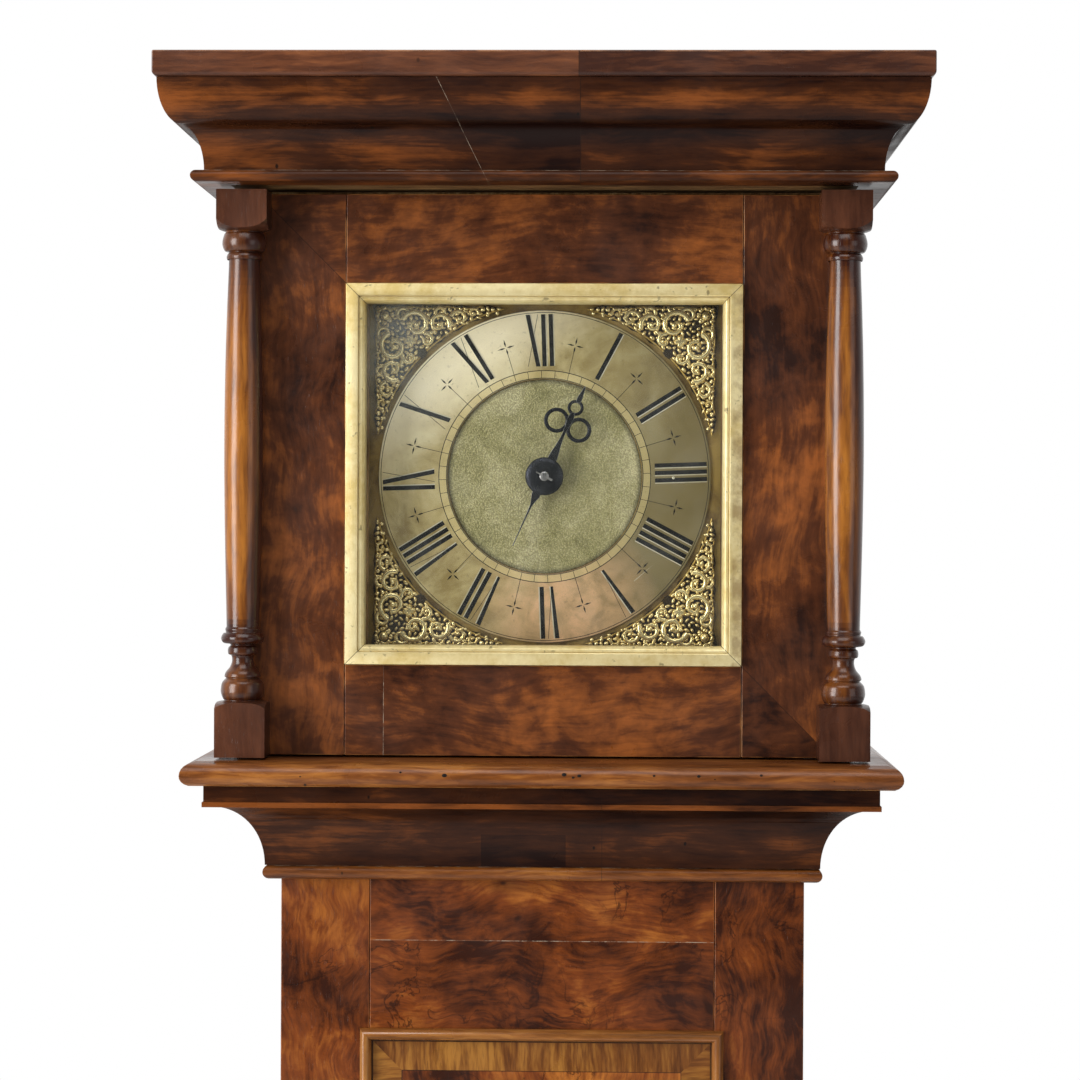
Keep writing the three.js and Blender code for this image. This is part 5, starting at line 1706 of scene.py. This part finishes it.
@dataclass
class Spandrel:
    """A corner casting: a thin lobed ground with scrolls, leaves and berries on it.

    What is seen from the front is drawn in millimetres from its outer corner, for one half, and
    then mirrored across the diagonal. Thicknesses, and how far things stand out, are in metres.
    """

    node: str
    side_x: int
    side_z: int
    ground: float = 0.0011
    scroll_out: float = 0.0006
    berry_out: float = 0.0009
    leaf_depth: float = 0.0016
    gilding: Pair = (0.0012, 0.0034)
    ring: Pair = (123.0, 122.4)
    rosette: Quad = (9.0, 3.4, 5.4, 1.7)
    berries: tuple[Triple, ...] = (
        (31.5, 15.5, 2.3), (47.5, 15.2, 1.9), (62.0, 11.2, 1.6), (22.5, 9.0, 1.6),
        (49.5, 6.6, 1.3), (72.0, 7.4, 1.3), (39.5, 27.0, 1.5), (40.0, 8.2, 1.7), (56.0, 18.6, 1.4),
        (67.5, 14.2, 1.3), (55.6, 5.0, 1.5), (34.6, 5.4, 1.5), (82.0, 8.8, 1.3),
    )
    leaves: tuple[Leaf, ...] = (
        (27.0, 27.0, 5.5, 1.7, 23), (27.0, 27.0, 5.5, 1.7, 1), (27.0, 27.0, 5.5, 1.7, -21),
        (35.0, 20.5, 3.4, 1.5, 30), (43.0, 21.0, 3.6, 1.4, -40), (53.5, 11.5, 3.2, 1.3, 60),
        (26.0, 16.0, 3.2, 1.4, 100), (66.5, 6.0, 3.0, 1.1, 15), (58.0, 15.5, 2.8, 1.1, -30),
        (38.0, 12.5, 3.0, 1.3, -75), (17.5, 5.0, 3.2, 1.3, 10), (76.0, 10.5, 2.6, 1.0, 20),
    )

    def __post_init__(self) -> None:
        """Takes the casting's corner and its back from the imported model."""
        low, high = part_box(self.node)
        self.edge_x = high.x if self.side_x > 0 else low.x
        self.edge_z = high.z if self.side_z > 0 else low.z
        self.back = high.y

    def place(self, spot: Pair, out: float, flip: bool = False) -> Vector:
        """A place on the casting.

        Args:
            spot: Millimetres from its corner.
            out: How far it stands in front of the ground.
            flip: Whether it lies in the other half.

        Returns:
            The place.
        """
        across, up = (spot[1], spot[0]) if flip else spot
        return Vector((
            self.edge_x - self.side_x * across / 1000, self.back - (self.ground + out),
            self.edge_z - self.side_z * up / 1000,
        ))

    def scroll(
        self, centre: Pair, radius: float, start: float, turns: float, thick: Pair,
    ) -> list[tuple[Pair, float]]:
        """A tapering spiral from its rim to its eye.

        Args:
            centre: The eye.
            radius: Radius at its start.
            start: Angle of its start, in degrees.
            turns: Full turns to the eye, negative for clockwise.
            thick: Half thickness at its start and at its eye.

        Returns:
            Its points and their half thicknesses.
        """
        steps, line = 26, []
        for i in range(steps + 1):
            t = i / steps
            a = math.radians(start) + 2 * math.pi * turns * t
            r = radius * (1 - 0.82 * t)
            spot = (centre[0] + r * math.cos(a), centre[1] + r * math.sin(a))
            line.append((spot, thick[0] + (thick[1] - thick[0]) * t))
        return line

    def lines(self) -> list[list[tuple[Pair, float]]]:
        """The scrolls of one half, the stem along its edge and the rail along the ring.

        Returns:
            Each as points and half thicknesses.
        """
        middle, radius = self.ring
        stem = [((6 + 8 * i, 3.4 + 0.9 * math.sin(i * 1.9)), 1.15 - 0.05 * i) for i in range(10)]
        rail = [(spot, 0.8) for spot in arc((middle, middle), (radius, radius), 226.5, 256.0, 15)]
        return [
            self.scroll((31.0, 15.5), 10.5, 200, 1.2, (2.5, 1.4)),
            self.scroll((47.5, 14.8), 8.0, 20, -1.15, (2.2, 1.3)),
            self.scroll((49.0, 6.4), 4.4, 160, 1.0, (1.7, 1.1)),
            self.scroll((62.0, 10.8), 6.0, 190, 1.1, (1.9, 1.1)),
            self.scroll((21.5, 8.6), 5.4, 330, -1.1, (1.9, 1.2)),
            self.scroll((72.0, 7.2), 4.0, 20, -1.0, (1.5, 1.0)),
            self.scroll((38.5, 26.5), 5.2, 250, 1.0, (1.9, 1.2)),
            stem, rail,
        ]

    def filling(self) -> list[Leaf]:
        """Small leaves that fill the ground between the scrolls, set out in a close pattern.

        Returns:
            Place, length, width and angle of each.
        """
        spots, step, start, middle = [], 3.9, 4.2, self.ring[0]
        for row in range(24):
            for column in range(24):
                x, z = start + step * (column + 0.5 * (row % 2)), start + step * 0.87 * row
                near_ring = math.hypot(x - middle, z - middle) < middle + 0.2
                if z > x or near_ring:
                    continue
                turn = (137.5 * (3 * row + 5 * column)) % 360
                size = 1.55 + 0.35 * math.sin(2.3 * row + 1.7 * column)
                spots.append((x, z, size * 1.35, size * 0.75, turn))
        return spots

    def add_scrolls(self) -> None:
        """Adds the scrolls of both halves, as round wires that taper."""
        curve = bpy.data.curves.new("scrolls", "CURVE")
        curve.dimensions, curve.bevel_depth, curve.bevel_resolution = "3D", 0.001, 2
        curve.use_fill_caps = True
        for line in self.lines():
            for flip in (False, True):
                spline = curve.splines.new("POLY")
                spline.points.add(len(line) - 1)
                for point, (spot, thick) in zip(spline.points, line):
                    point.co = (*self.place(spot, self.scroll_out, flip), 1)
                    point.radius = thick
        holder = put("scrolls", curve)
        ready = holder.evaluated_get(bpy.context.evaluated_depsgraph_get())
        self.shape.bm.from_mesh(bpy.data.meshes.new_from_object(ready))
        bpy.data.objects.remove(holder)

    def add_bosses(self) -> None:
        """Adds the berries, and the rosette in the corner."""
        cluster = [(79 + 3.3 * i, 4.6 + 2.6 * (i % 2), 1.55) for i in range(4)]
        for x, z, radius in [*cluster, *self.berries]:
            for flip in (False, True):
                self.shape.ball(self.place((x, z), self.berry_out, flip), [radius / 1000] * 3)
        middle, boss, reach, petal = self.rosette
        self.shape.ball(self.place((middle, middle), self.berry_out), [boss / 1000] * 3)
        for spot in arc((middle, middle), (reach, reach), 0, 315, 7):
            self.shape.ball(self.place(spot, self.scroll_out), [petal / 1000] * 3)

    def add_leaves(self) -> None:
        """Adds the leaves of both halves."""
        for x, z, length, width, degrees in [*self.leaves, *self.filling()]:
            for flip in (False, True):
                a = math.radians(90 - degrees if flip else degrees)
                way = math.atan2(-self.side_z * math.sin(a), -self.side_x * math.cos(a))
                self.shape.ball(
                    self.place((x, z), self.scroll_out, flip),
                    (length / 1000, self.leaf_depth, width / 1000), Matrix.Rotation(-way, 4, "Y"),
                )

    def build(self) -> None:
        """Makes the casting."""
        self.shape = Shape(self.node)
        for vert in self.shape.bm.verts:
            vert.co.y = max(vert.co.y, self.back - self.ground)
        self.add_scrolls()
        self.add_bosses()
        self.add_leaves()
        bmesh.ops.recalc_face_normals(self.shape.bm, faces=self.shape.bm.faces[:])
        low, high = (self.back - out for out in self.gilding)
        finish = CastFinish("cast_brass", low=low, high=high)
        stand_in(self.shape, self.node, "casting", Body.CASE, finish)


@dataclass
class Hand:
    """The single hand with its domed boss, its loops, and the pin that holds it."""

    angle: float = 24.3
    boss: float = 0.0135
    eye: float = 0.0034
    thickness: float = 0.0016
    stem: tuple[Pair, ...] = (
        (0.0034, 0.011), (0.0031, 0.0165), (0.0019, 0.024), (0.0011, 0.032), (0.0017, 0.039),
        (0.0023, 0.0445), (0.0012, 0.0495),
    )
    tip: tuple[Pair, ...] = (
        (0.0013, 0.057), (0.0019, 0.0596), (0.0016, 0.0625), (0.0012, 0.065), (0.0007, 0.068),
        (0.0002, 0.07),
    )
    tail: tuple[Pair, ...] = (
        (0.0034, 0.0115), (0.0029, 0.0155), (0.0014, 0.0205), (0.0007, 0.0265), (0.0003, 0.054),
    )
    loops: tuple[Quad, ...] = (
        (-0.0086, 0.0397, 0.0076, 0.00135), (0.0086, 0.0397, 0.0076, 0.00135),
        (0.0, 0.0532, 0.0046, 0.0011),
    )
    pin_length: float = 0.0125
    pin_radius: float = 0.0009
    pin_angle: float = 27.0
    collet: float = 0.0009

    def __post_init__(self) -> None:
        """Takes the hand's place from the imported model."""
        low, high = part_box("hour_hand")
        self.front, self.back = low.y, high.y
        self.centre = middle_of("chapter_ring")

    def blade(self, shape: Shape, sides: Sequence[Pair], way: int) -> None:
        """Adds a flat blade from its half widths along its length.

        Args:
            shape: Where it goes.
            sides: Half widths and distances from the middle.
            way: 1 for the pointing side, -1 for the tail.
        """
        face = self.back - self.thickness
        right = [Vector((w, face, way * out)) for w, out in flowing(sides, 4)]
        left = [Vector((-v.x, v.y, v.z)) for v in reversed(right)]
        shape.prism([*right, *left], Vector((0, self.thickness, 0)))

    def hand(self) -> Shape:
        """The hand, drawn upright and then turned to the time.

        Returns:
            The shape.
        """
        shape = Shape()
        self.blade(shape, self.stem, 1)
        self.blade(shape, self.tip, 1)
        self.blade(shape, self.tail, -1)
        flat = self.thickness / 2
        mid = self.back - flat
        for x, z, radius, half in self.loops:
            section = arc((x + radius, mid), (half, flat), 0, 330, 11)
            points = [(px, py, z) for px, py in section]
            shape.turned(points, (x, mid, z), (0, 1, 0), 40, endless=True)
        shape.eased(0.0003, 2, 60)
        face = self.back - self.thickness
        bowed = arc((0, face), (self.boss, face - self.front), 0, -76, 10)
        head = self.front + 0.0001
        rim = [(self.eye, self.back), (self.boss, self.back), *bowed, (self.eye, head)]
        shape.turned([(x, y, 0) for x, y in rim], (0, 0, 0), (0, 1, 0), 48, endless=True)
        turn = Matrix.Rotation(math.radians(self.angle), 4, "Y")
        return shape.moved(Matrix.Translation((0, 0, self.centre.z)) @ turn)

    def pin(self) -> Shape:
        """The taper pin across the end of the pipe, and the collet under it.

        Returns:
            The shape.
        """
        shape = Shape()
        half = self.pin_length / 2
        line = [(-half, 0), (-half, 0.5), (half, 1), (half * 1.04, 0.6), (half * 1.04, 0)]
        points = [(x, 0, share * self.pin_radius) for x, share in line]
        shape.turned(points, (0, 0, 0), (1, 0, 0), 16)
        shape.ball((0, 0.0001, 0), (self.eye, self.collet, self.eye))
        turn = Matrix.Rotation(math.radians(self.pin_angle), 4, "Y")
        return shape.moved(Matrix.Translation((0, self.front - 0.0002, self.centre.z)) @ turn)

    def build(self) -> None:
        """Makes the pieces."""
        stand_in(self.hand(), "hour_hand", "blued", Body.HAND, BLUED)
        deliver(self.pin(), "hand_pin", Body.HAND, STEEL)


@dataclass
class Trunk:
    """Trunk of the case: backboard, sides, veneered front and the moulding under the hood."""

    band_z: float = 1.3765
    bead: float = 0.010
    bead_projection: float = 0.012
    cove: float = 0.044
    cove_foot: float = 0.0105
    cove_head: float = 0.0455
    fillet: float = 0.0035
    fillet_step: float = 0.001
    joint_x: float = 0.042
    patch: Pair = (-0.0426, 0.0167)
    patch_pale: float = -0.7

    def throat(self) -> Shape:
        """Bead, hollow and flat, mitred round the front.

        Returns:
            The shape.
        """
        low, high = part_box("throat_moulding")
        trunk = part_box("trunk_side_right")[1].x
        projection = high.x - trunk
        front = low.y + projection
        foot, top = low.z, high.z
        bead_top = foot + self.bead
        cove_top = bead_top + self.cove
        fillet_top = cove_top + self.fillet
        flat = projection - self.fillet_step
        hollow = (self.cove_head - self.cove_foot, self.cove)
        section = [
            (SEAT, foot), *bead_line(self.bead_projection, foot, self.bead),
            (self.cove_foot, bead_top), *arc((self.cove_head, bead_top), hollow, 180, 90, 20)[1:],
            (projection, cove_top), (projection, fillet_top), (flat, fillet_top), (flat, top),
            (SEAT, top),
        ]
        shape = Shape().swept(section, run_round_front(trunk, front, high.y))
        shape.eased(0.0004, 2, 60).laid(ALONG, (0.55, 0.25, 0.35))
        shape.scored((self.joint_x, 0, 0), (1, 0, 0))
        # Painted light on bead, hollow and fillet, painted shade in the creases and on the top.
        shape.painted_light_by_height([
            (bead_top - 0.0002, 0.3), (bead_top, -0.4), (bead_top + self.cove * 0.4, 0.2),
            (cove_top - 0.003, -0.7), (cove_top, 0.6), (fillet_top, 0.6),
            (fillet_top + 0.001, -0.7),
        ])
        left, right = self.patch
        patch_top = bead_top + self.cove * 0.55
        shape.stained((left, bead_top), (right, patch_top), self.patch_pale)
        return shape.dusty(bead_top)

    def build(self) -> None:
        """Makes the pieces."""
        dress("backboard", OAK)
        dress("seatboard", OAK)
        for side, shift, pale in (
            ("left", (0.3, 0.2, 0.1), -0.15), ("right", (0.7, 0.5, 0.4), -0.75),
        ):
            stile = Shape(f"trunk_stile_{side}").eased(0.0007).laid(0.0, shift, pale)
            stand_in(stile, f"trunk_stile_{side}", "veneered", Body.CASE, BURR)
            board = Shape(f"trunk_side_{side}").eased(0.0007).laid(0.0, (shift[1], shift[0], 0.6))
            stand_in(board, f"trunk_side_{side}", "veneered", Body.CASE, DOOR_WALNUT)
        rail = Shape("trunk_top_rail").eased(0.0006).laid(ALONG, (0.45, 0.15, 0.95), -0.05)
        rail.jointed((0, 0, self.band_z), (0, 0, 1), 0.0005, (0.65, 0.35, 0.25), Mark.DUST)
        stand_in(rail, "trunk_top_rail", "veneered", Body.CASE, BURR)
        rail = Shape("trunk_bottom_rail").eased(0.0006).laid(ALONG, (0.25, 0.55, 0.75))
        stand_in(rail, "trunk_bottom_rail", "veneered", Body.CASE, BURR)
        run = deliver(
            self.throat(), "throat_run", Body.CASE, MOULDING, ["throat_moulding"],
        )
        bead_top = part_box("throat_moulding")[0].z + self.bead
        add_finish(run, NOSE, lambda face: face.center.z < bead_top - MERGED * 10)


@dataclass
class Base:
    """Base of the case: veneered front and sides, moulding above and skirting below."""

    band: float = 0.045

    def build(self) -> None:
        """Makes the pieces."""
        for side, shift in (("left", (0.9, 0.1, 0.5)), ("right", (0.4, 0.8, 0.3))):
            board = Shape(f"base_side_{side}").eased().laid(0.0, shift)
            stand_in(board, f"base_side_{side}", "veneered", Body.CASE, DOOR_WALNUT)
        build_banded("base_front", Body.CASE, self.band, (0.35, 0.65, 0.15))
        for node, turn, shift in (
            ("base_moulding", 0.0, (0.1, 0.7, 0.2)), ("skirting", ALONG, (0.6, 0.1, 0.8)),
        ):
            run = Shape(node).eased(0.0008, 2, 40).laid(turn, shift)
            stand_in(run, node, "run", Body.CASE, MOULDING)


def build_banded(node: str, body: Body, band: float, shift: Triple, rim: float = 0.0) -> None:
    """Makes a board with a mitred cross band round a field of burr, and a back of bare oak.

    Args:
        node: Name of the board's node.
        body: Body that it rides on.
        band: Width of the band.
        shift: Which part of the plank the middle is cut from.
        rim: Width of the board's edge that is dark from a moulding laid over it.
    """
    low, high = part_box(node)
    shape = Shape().block(low, high).laid(0.0, shift)
    front = [f for f in shape.bm.faces if f.normal.y < -FACING]

    def inset(width: float) -> list[Face]:
        """Draws the front in by a width, and gives the border."""
        return bmesh.ops.inset_region(
            shape.bm, faces=front, thickness=width, use_even_offset=True,
        )["faces"]

    def in_field(face: bpy.types.MeshPolygon) -> bool:
        """Whether a face of the front lies inside the band."""
        x, _, z = face.center
        within = low.x + band < x < high.x - band and low.z + band < z < high.z - band
        return face.normal.y < -FACING and within

    if rim:
        shape.mark(inset(rim), Mark.JOINT, 1.0)
    made = inset(band - rim)
    middle = sum((f.calc_center_median() for f in made), Vector()) / len(made)
    for face in made:
        spot = face.calc_center_median() - middle
        flat = abs(spot.x) < abs(spot.z)
        shape.relaid([face], 0.0 if flat else ALONG, (spot.x * 3, 0.5, spot.z * 2))
    shape.mark(inset(0.0006), Mark.JOINT, 1.0)
    piece = stand_in(shape.eased(0.0007), node, "veneered", body, CROSSBAND)
    add_finish(piece, BURR, in_field)
    add_finish(piece, OAK, lambda face: face.normal.y > FACING)


@dataclass
class TrunkDoor:
    """Door of the trunk: banded board, planted half-round lip, lock and hinges."""

    band: float = 0.022
    lip: float = 0.0083
    gap: float = 0.0012
    screw: Triple = (0.0024, 0.0009, 0.0024)
    screw_place: Pair = (0.008, 0.0044)
    screw_shares: Triple = (0.2, 0.5, 0.8)

    def lip_run(self) -> Shape:
        """The half-round lip with its mitres.

        Returns:
            The shape.
        """
        low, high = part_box("trunk_door_lip")
        stations = run_round_opening((high.x, (high.z - low.z) / 2), (low.z + high.z) / 2)
        section = arc((self.lip / 2, high.y), (self.lip / 2, high.y - low.y), 0, -180, 14)
        shape = Shape().swept(section, stations, endless=True).laid(0.0, (0.2, 0.3, 0.1))
        inner = high.x - self.lip * 1.5
        flat = [f for f in shape.bm.faces if abs(f.calc_center_median().x) < inner]
        shape.relaid(flat, ALONG, (0.5, 0.1, 0.6))
        return shape

    def build(self) -> None:
        """Makes the pieces."""
        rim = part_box("trunk_door_lip")[0].x + self.lip + self.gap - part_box("trunk_door_board")[0].x
        shift = (0.15, 0.85, 0.45)
        build_banded("trunk_door_board", Body.TRUNK_DOOR, self.band, shift, rim)
        stand_in(self.lip_run(), "trunk_door_lip", "run", Body.TRUNK_DOOR, LIP)
        lock = Shape("trunk_door_lock").eased(0.0003, 2, 40)
        stand_in(lock, "trunk_door_lock", "brass", Body.TRUNK_DOOR, BRASS)
        for node in ("trunk_hinge_lower", "trunk_hinge_upper"):
            hinge = Shape(node).eased(0.0003, 2, 40)
            low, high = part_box(node)
            x, y = high.x - self.screw_place[0], low.y + self.screw_place[1]
            for share in self.screw_shares:
                hinge.ball((x, y, low.z + share * (high.z - low.z)), self.screw)
            stand_in(hinge, node, "brass", Body.CASE, BRASS)


@dataclass
class Chains:
    """The drive chain, link by link, over the sprocket and down to both weights."""

    pitch: float = 0.0054
    wire: float = 0.0007
    link_width: float = 0.0023
    link_half: float = 0.0034
    sunk: float = 0.002

    def link(self, shape: Shape, centre: Vector, along: Vector, side: Vector) -> None:
        """Adds one oval link.

        Args:
            shape: Where it goes.
            centre: Its middle.
            along: The way that the chain runs.
            side: The way that the link lies flat.
        """
        part = Shape()
        ring = self.link_width - self.wire
        section = arc((ring, 0), (self.wire, self.wire), 0, 300, 5)
        part.turned([(x, y, 0) for x, y in section], (0, 0, 0), (0, 1, 0), 10, endless=True)
        stretch = self.link_half - self.link_width
        for vert in part.bm.verts:
            vert.co.z += stretch if vert.co.z > 0 else -stretch
        across = along.cross(side)
        axes = Matrix((side, across, along)).transposed().to_4x4()
        part.moved(Matrix.Translation(centre) @ axes)
        shape.joined(part.bm)

    def hanging(self, node: str) -> Shape:
        """A straight run of chain in the place of a node.

        Args:
            node: Name of the node.

        Returns:
            The shape.
        """
        low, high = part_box(node)
        centre = middle_of(node)
        count = round((high.z - low.z - 2 * self.link_half) / self.pitch)
        gap = (high.z - low.z - 2 * self.link_half) / count
        shape = Shape()
        for i in range(count + 1):
            spot = Vector((centre.x, centre.y, high.z - self.link_half - i * gap))
            side = Vector((1, 0, 0)) if i % 2 else Vector((0, 1, 0))
            self.link(shape, spot, Vector((0, 0, 1)), side)
        return shape

    def over_sprocket(self) -> Shape:
        """The stretch that lies on the sprocket.

        Returns:
            The shape.
        """
        low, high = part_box("sprocket_chain")
        radius = (high.x - low.x) / 2 - self.sunk
        centre = Vector(((low.x + high.x) / 2, (low.y + high.y) / 2, low.z))
        count = round(math.pi * radius / self.pitch)
        shape = Shape()
        for i in range(count):
            a = math.pi * (i + 0.5) / count
            out = Vector((math.cos(a), 0, math.sin(a)))
            way = Vector((-math.sin(a), 0, math.cos(a)))
            side = out if i % 2 else Vector((0, 1, 0))
            self.link(shape, centre + out * radius, way, side)
        return shape

    def build(self) -> None:
        """Makes the pieces. The two hanging runs lengthen with the weights."""
        stand_in(self.over_sprocket(), "sprocket_chain", "links", Body.CASE, STEEL)
        for node, body in (
            ("weight_chain", Body.DRIVE_WEIGHT), ("counterweight_chain", Body.COUNTER_WEIGHT),
        ):
            low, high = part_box(node)
            name = f"{node}_links"
            piece = put(name, self.hanging(node).mesh(name))
            piece.data.materials.append(STEEL.material())
            middle = middle_of(node)
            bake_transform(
                piece, Body.CASE.value, body.value, start=(middle.x, middle.y, high.z),
                end=(middle.x, middle.y, low.z),
            )
            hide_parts(node)
            LOG.info("%s from case to %s: %d faces", name, body.value, len(piece.data.polygons))


@dataclass
class Movement:
    """Plates, wheels, anchor, pendulum, bell and weights."""

    bell_wall: float = 0.0024
    eased_brass: tuple[str, ...] = ("movement_front_plate", "movement_back_plate", "back_cock")
    plain: dict[str, Finish] = field(default_factory=lambda: {
        "great_wheel": BRASS, "chain_sprocket": STEEL, "second_wheel": BRASS, "escape_wheel": BRASS,
        "hour_wheel": BRASS, "bell_stand": IRON, "hammer": STEEL,
    })

    def smooth(self, node: str, body: Body, finish: Finish) -> None:
        """Delivers a smooth copy of a node."""
        stand_in(Shape(node).eased(0.0003, 2, 45), node, "finished", body, finish)

    def bob(self) -> Shape:
        """The lens-shaped pendulum bob.

        Returns:
            The shape.
        """
        low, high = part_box("pendulum_bob")
        centre = middle_of("pendulum_bob")
        radii = ((high.x - low.x) / 2, (high.y - low.y) / 2)
        line = arc((centre.x, centre.y), radii, -90, 90, 28)
        return Shape().turned([(x, y, centre.z) for x, y in line], centre, (0, 1, 0), 64)

    def bell(self) -> Shape:
        """The bell, with its lip.

        Returns:
            The shape.
        """
        low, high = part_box("bell")
        radius = (high.x - low.x) / 2
        centre = Vector(((low.x + high.x) / 2, (low.y + high.y) / 2, 0))
        height, wall = high.z - low.z, self.bell_wall
        outer = arc((0, low.z), (radius, height), 0, 90, 16)
        inner = arc((0, low.z), (radius - wall, height - wall), 90, 0, 16)
        points = [(centre.x + x, centre.y, z) for x, z in [*outer, *inner]]
        return Shape().turned(points, centre, (0, 0, 1), 64, endless=True)

    def build(self) -> None:
        """Makes the pieces."""
        for node, finish in self.plain.items():
            dress(node, finish)
        for node in self.eased_brass:
            self.smooth(node, Body.CASE, BRASS)
        stand_in(self.bell(), "bell", "cast", Body.CASE, BELL_METAL)
        stand_in(self.bob(), "pendulum_bob", "turned", Body.PENDULUM, BRASS)
        self.smooth("anchor", Body.PENDULUM, STEEL)
        self.smooth("pendulum_rod", Body.PENDULUM, STEEL)
        self.smooth("rating_nut", Body.PENDULUM, BRASS)
        self.smooth("weight", Body.DRIVE_WEIGHT, IRON)
        self.smooth("counterweight", Body.COUNTER_WEIGHT, IRON)


@dataclass(frozen=True)
class Lamp:
    """A soft box: where it stands and points, its width and height, and its power in watts."""

    name: str
    place: Triple
    aim: Triple
    size: Pair
    power: float

    def build(self) -> None:
        """Adds the lamp."""
        lamp = bpy.data.lights.new(self.name, "AREA")
        lamp.shape, lamp.energy = "RECTANGLE", self.power
        lamp.size, lamp.size_y = self.size
        holder = put(self.name, lamp)
        holder.location = self.place
        way = Vector(self.aim) - Vector(self.place)
        holder.rotation_euler = way.to_track_quat("-Z", "Y").to_euler()


@dataclass
class Studio:
    """Floor, soft lights, white surroundings and the camera of the photograph."""

    eye: Triple = (0.052, -2.064, 1.669)
    down: float = 0.29
    turn: float = 1.5
    roll: float = 0.26
    lens: float = 95.36
    shift: float = -0.0025
    around: float = 0.28
    dim: float = 0.1
    floor_half: float = 6.0
    floor_z: float = -0.0005
    lamps: tuple[Lamp, ...] = (
        Lamp("window", (-2.7, -2.0, 1.9), (0.0, 0.0, 1.3), (1.6, 2.6), 125.0),
        Lamp("fill", (2.7, -2.6, 1.7), (0.0, 0.0, 1.2), (1.8, 2.4), 16.0),
        Lamp("overhead", (0.0, -1.6, 3.8), (0.0, 0.0, 1.6), (2.2, 1.4), 30.0),
    )

    def surroundings(self) -> None:
        """White where the camera, glass or metal sees it, and a low level of light elsewhere."""
        world = bpy.data.worlds.new("studio")
        bpy.context.scene.world = world
        world.use_nodes = True
        world.node_tree.nodes.clear()
        nodes = Nodes(world.node_tree)
        ray = nodes.node("ShaderNodeLightPath").outputs
        seen = nodes.sum(ray["Is Camera Ray"], ray["Is Transmission Ray"], operation="MAXIMUM")
        parts = nodes.parts(nodes.node("ShaderNodeTexCoord").outputs["Generated"])
        behind = nodes.span(parts["Y"], -0.5, 0.5, self.dim, 1.0)
        level = nodes.sum(
            seen, nodes.product(ray["Is Glossy Ray"], behind),
            nodes.product(ray["Is Diffuse Ray"], self.around), operation="MAXIMUM",
        )
        white = {"Color": (1, 1, 1, 1), "Strength": level}
        back = nodes.node("ShaderNodeBackground", white).outputs[0]
        nodes.node("ShaderNodeOutputWorld", {"Surface": back})

    def camera(self) -> None:
        """Sets the camera where the photograph was taken from."""
        data = bpy.data.cameras.new("view_of_the_photograph")
        data.lens, data.sensor_width, data.shift_x = self.lens, 36.0, self.shift
        holder = put("view_of_the_photograph", data)
        turn = Matrix.Rotation(math.radians(self.turn), 4, "Z")
        down = Matrix.Rotation(math.radians(90 - self.down), 4, "X")
        roll = Matrix.Rotation(math.radians(self.roll), 4, "Z")
        holder.matrix_world = Matrix.Translation(self.eye) @ turn @ down @ roll
        bpy.context.scene.camera = holder

    def floor(self) -> None:
        """Lays the floor."""
        shape = Shape()
        bmesh.ops.create_grid(shape.bm, x_segments=1, y_segments=1, size=self.floor_half)
        shape.moved(Matrix.Translation((0, 0, self.floor_z)))
        floor = put("floor", shape.mesh("floor"))
        floor.data.materials.append(FloorFinish("pale_floor").material())

    def build(self) -> None:
        """Sets up the studio."""
        bpy.context.scene.view_settings.view_transform = "Standard"
        self.camera()
        self.floor()
        self.surroundings()
        for lamp in self.lamps:
            lamp.build()


def main() -> None:
    """Builds the sub-assemblies in order."""
    logging.basicConfig(level=logging.INFO, format="%(message)s")
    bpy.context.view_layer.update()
    Studio().build()
    for assembly in (
        Cornice(), HoodShell(), HoodDoor(), Dial(), Hand(), Trunk(), Base(), TrunkDoor(),
        Movement(), Chains(),
    ):
        LOG.info("-- %s", type(assembly).__name__)
        assembly.build()


if __name__ == "__main__":
    main()
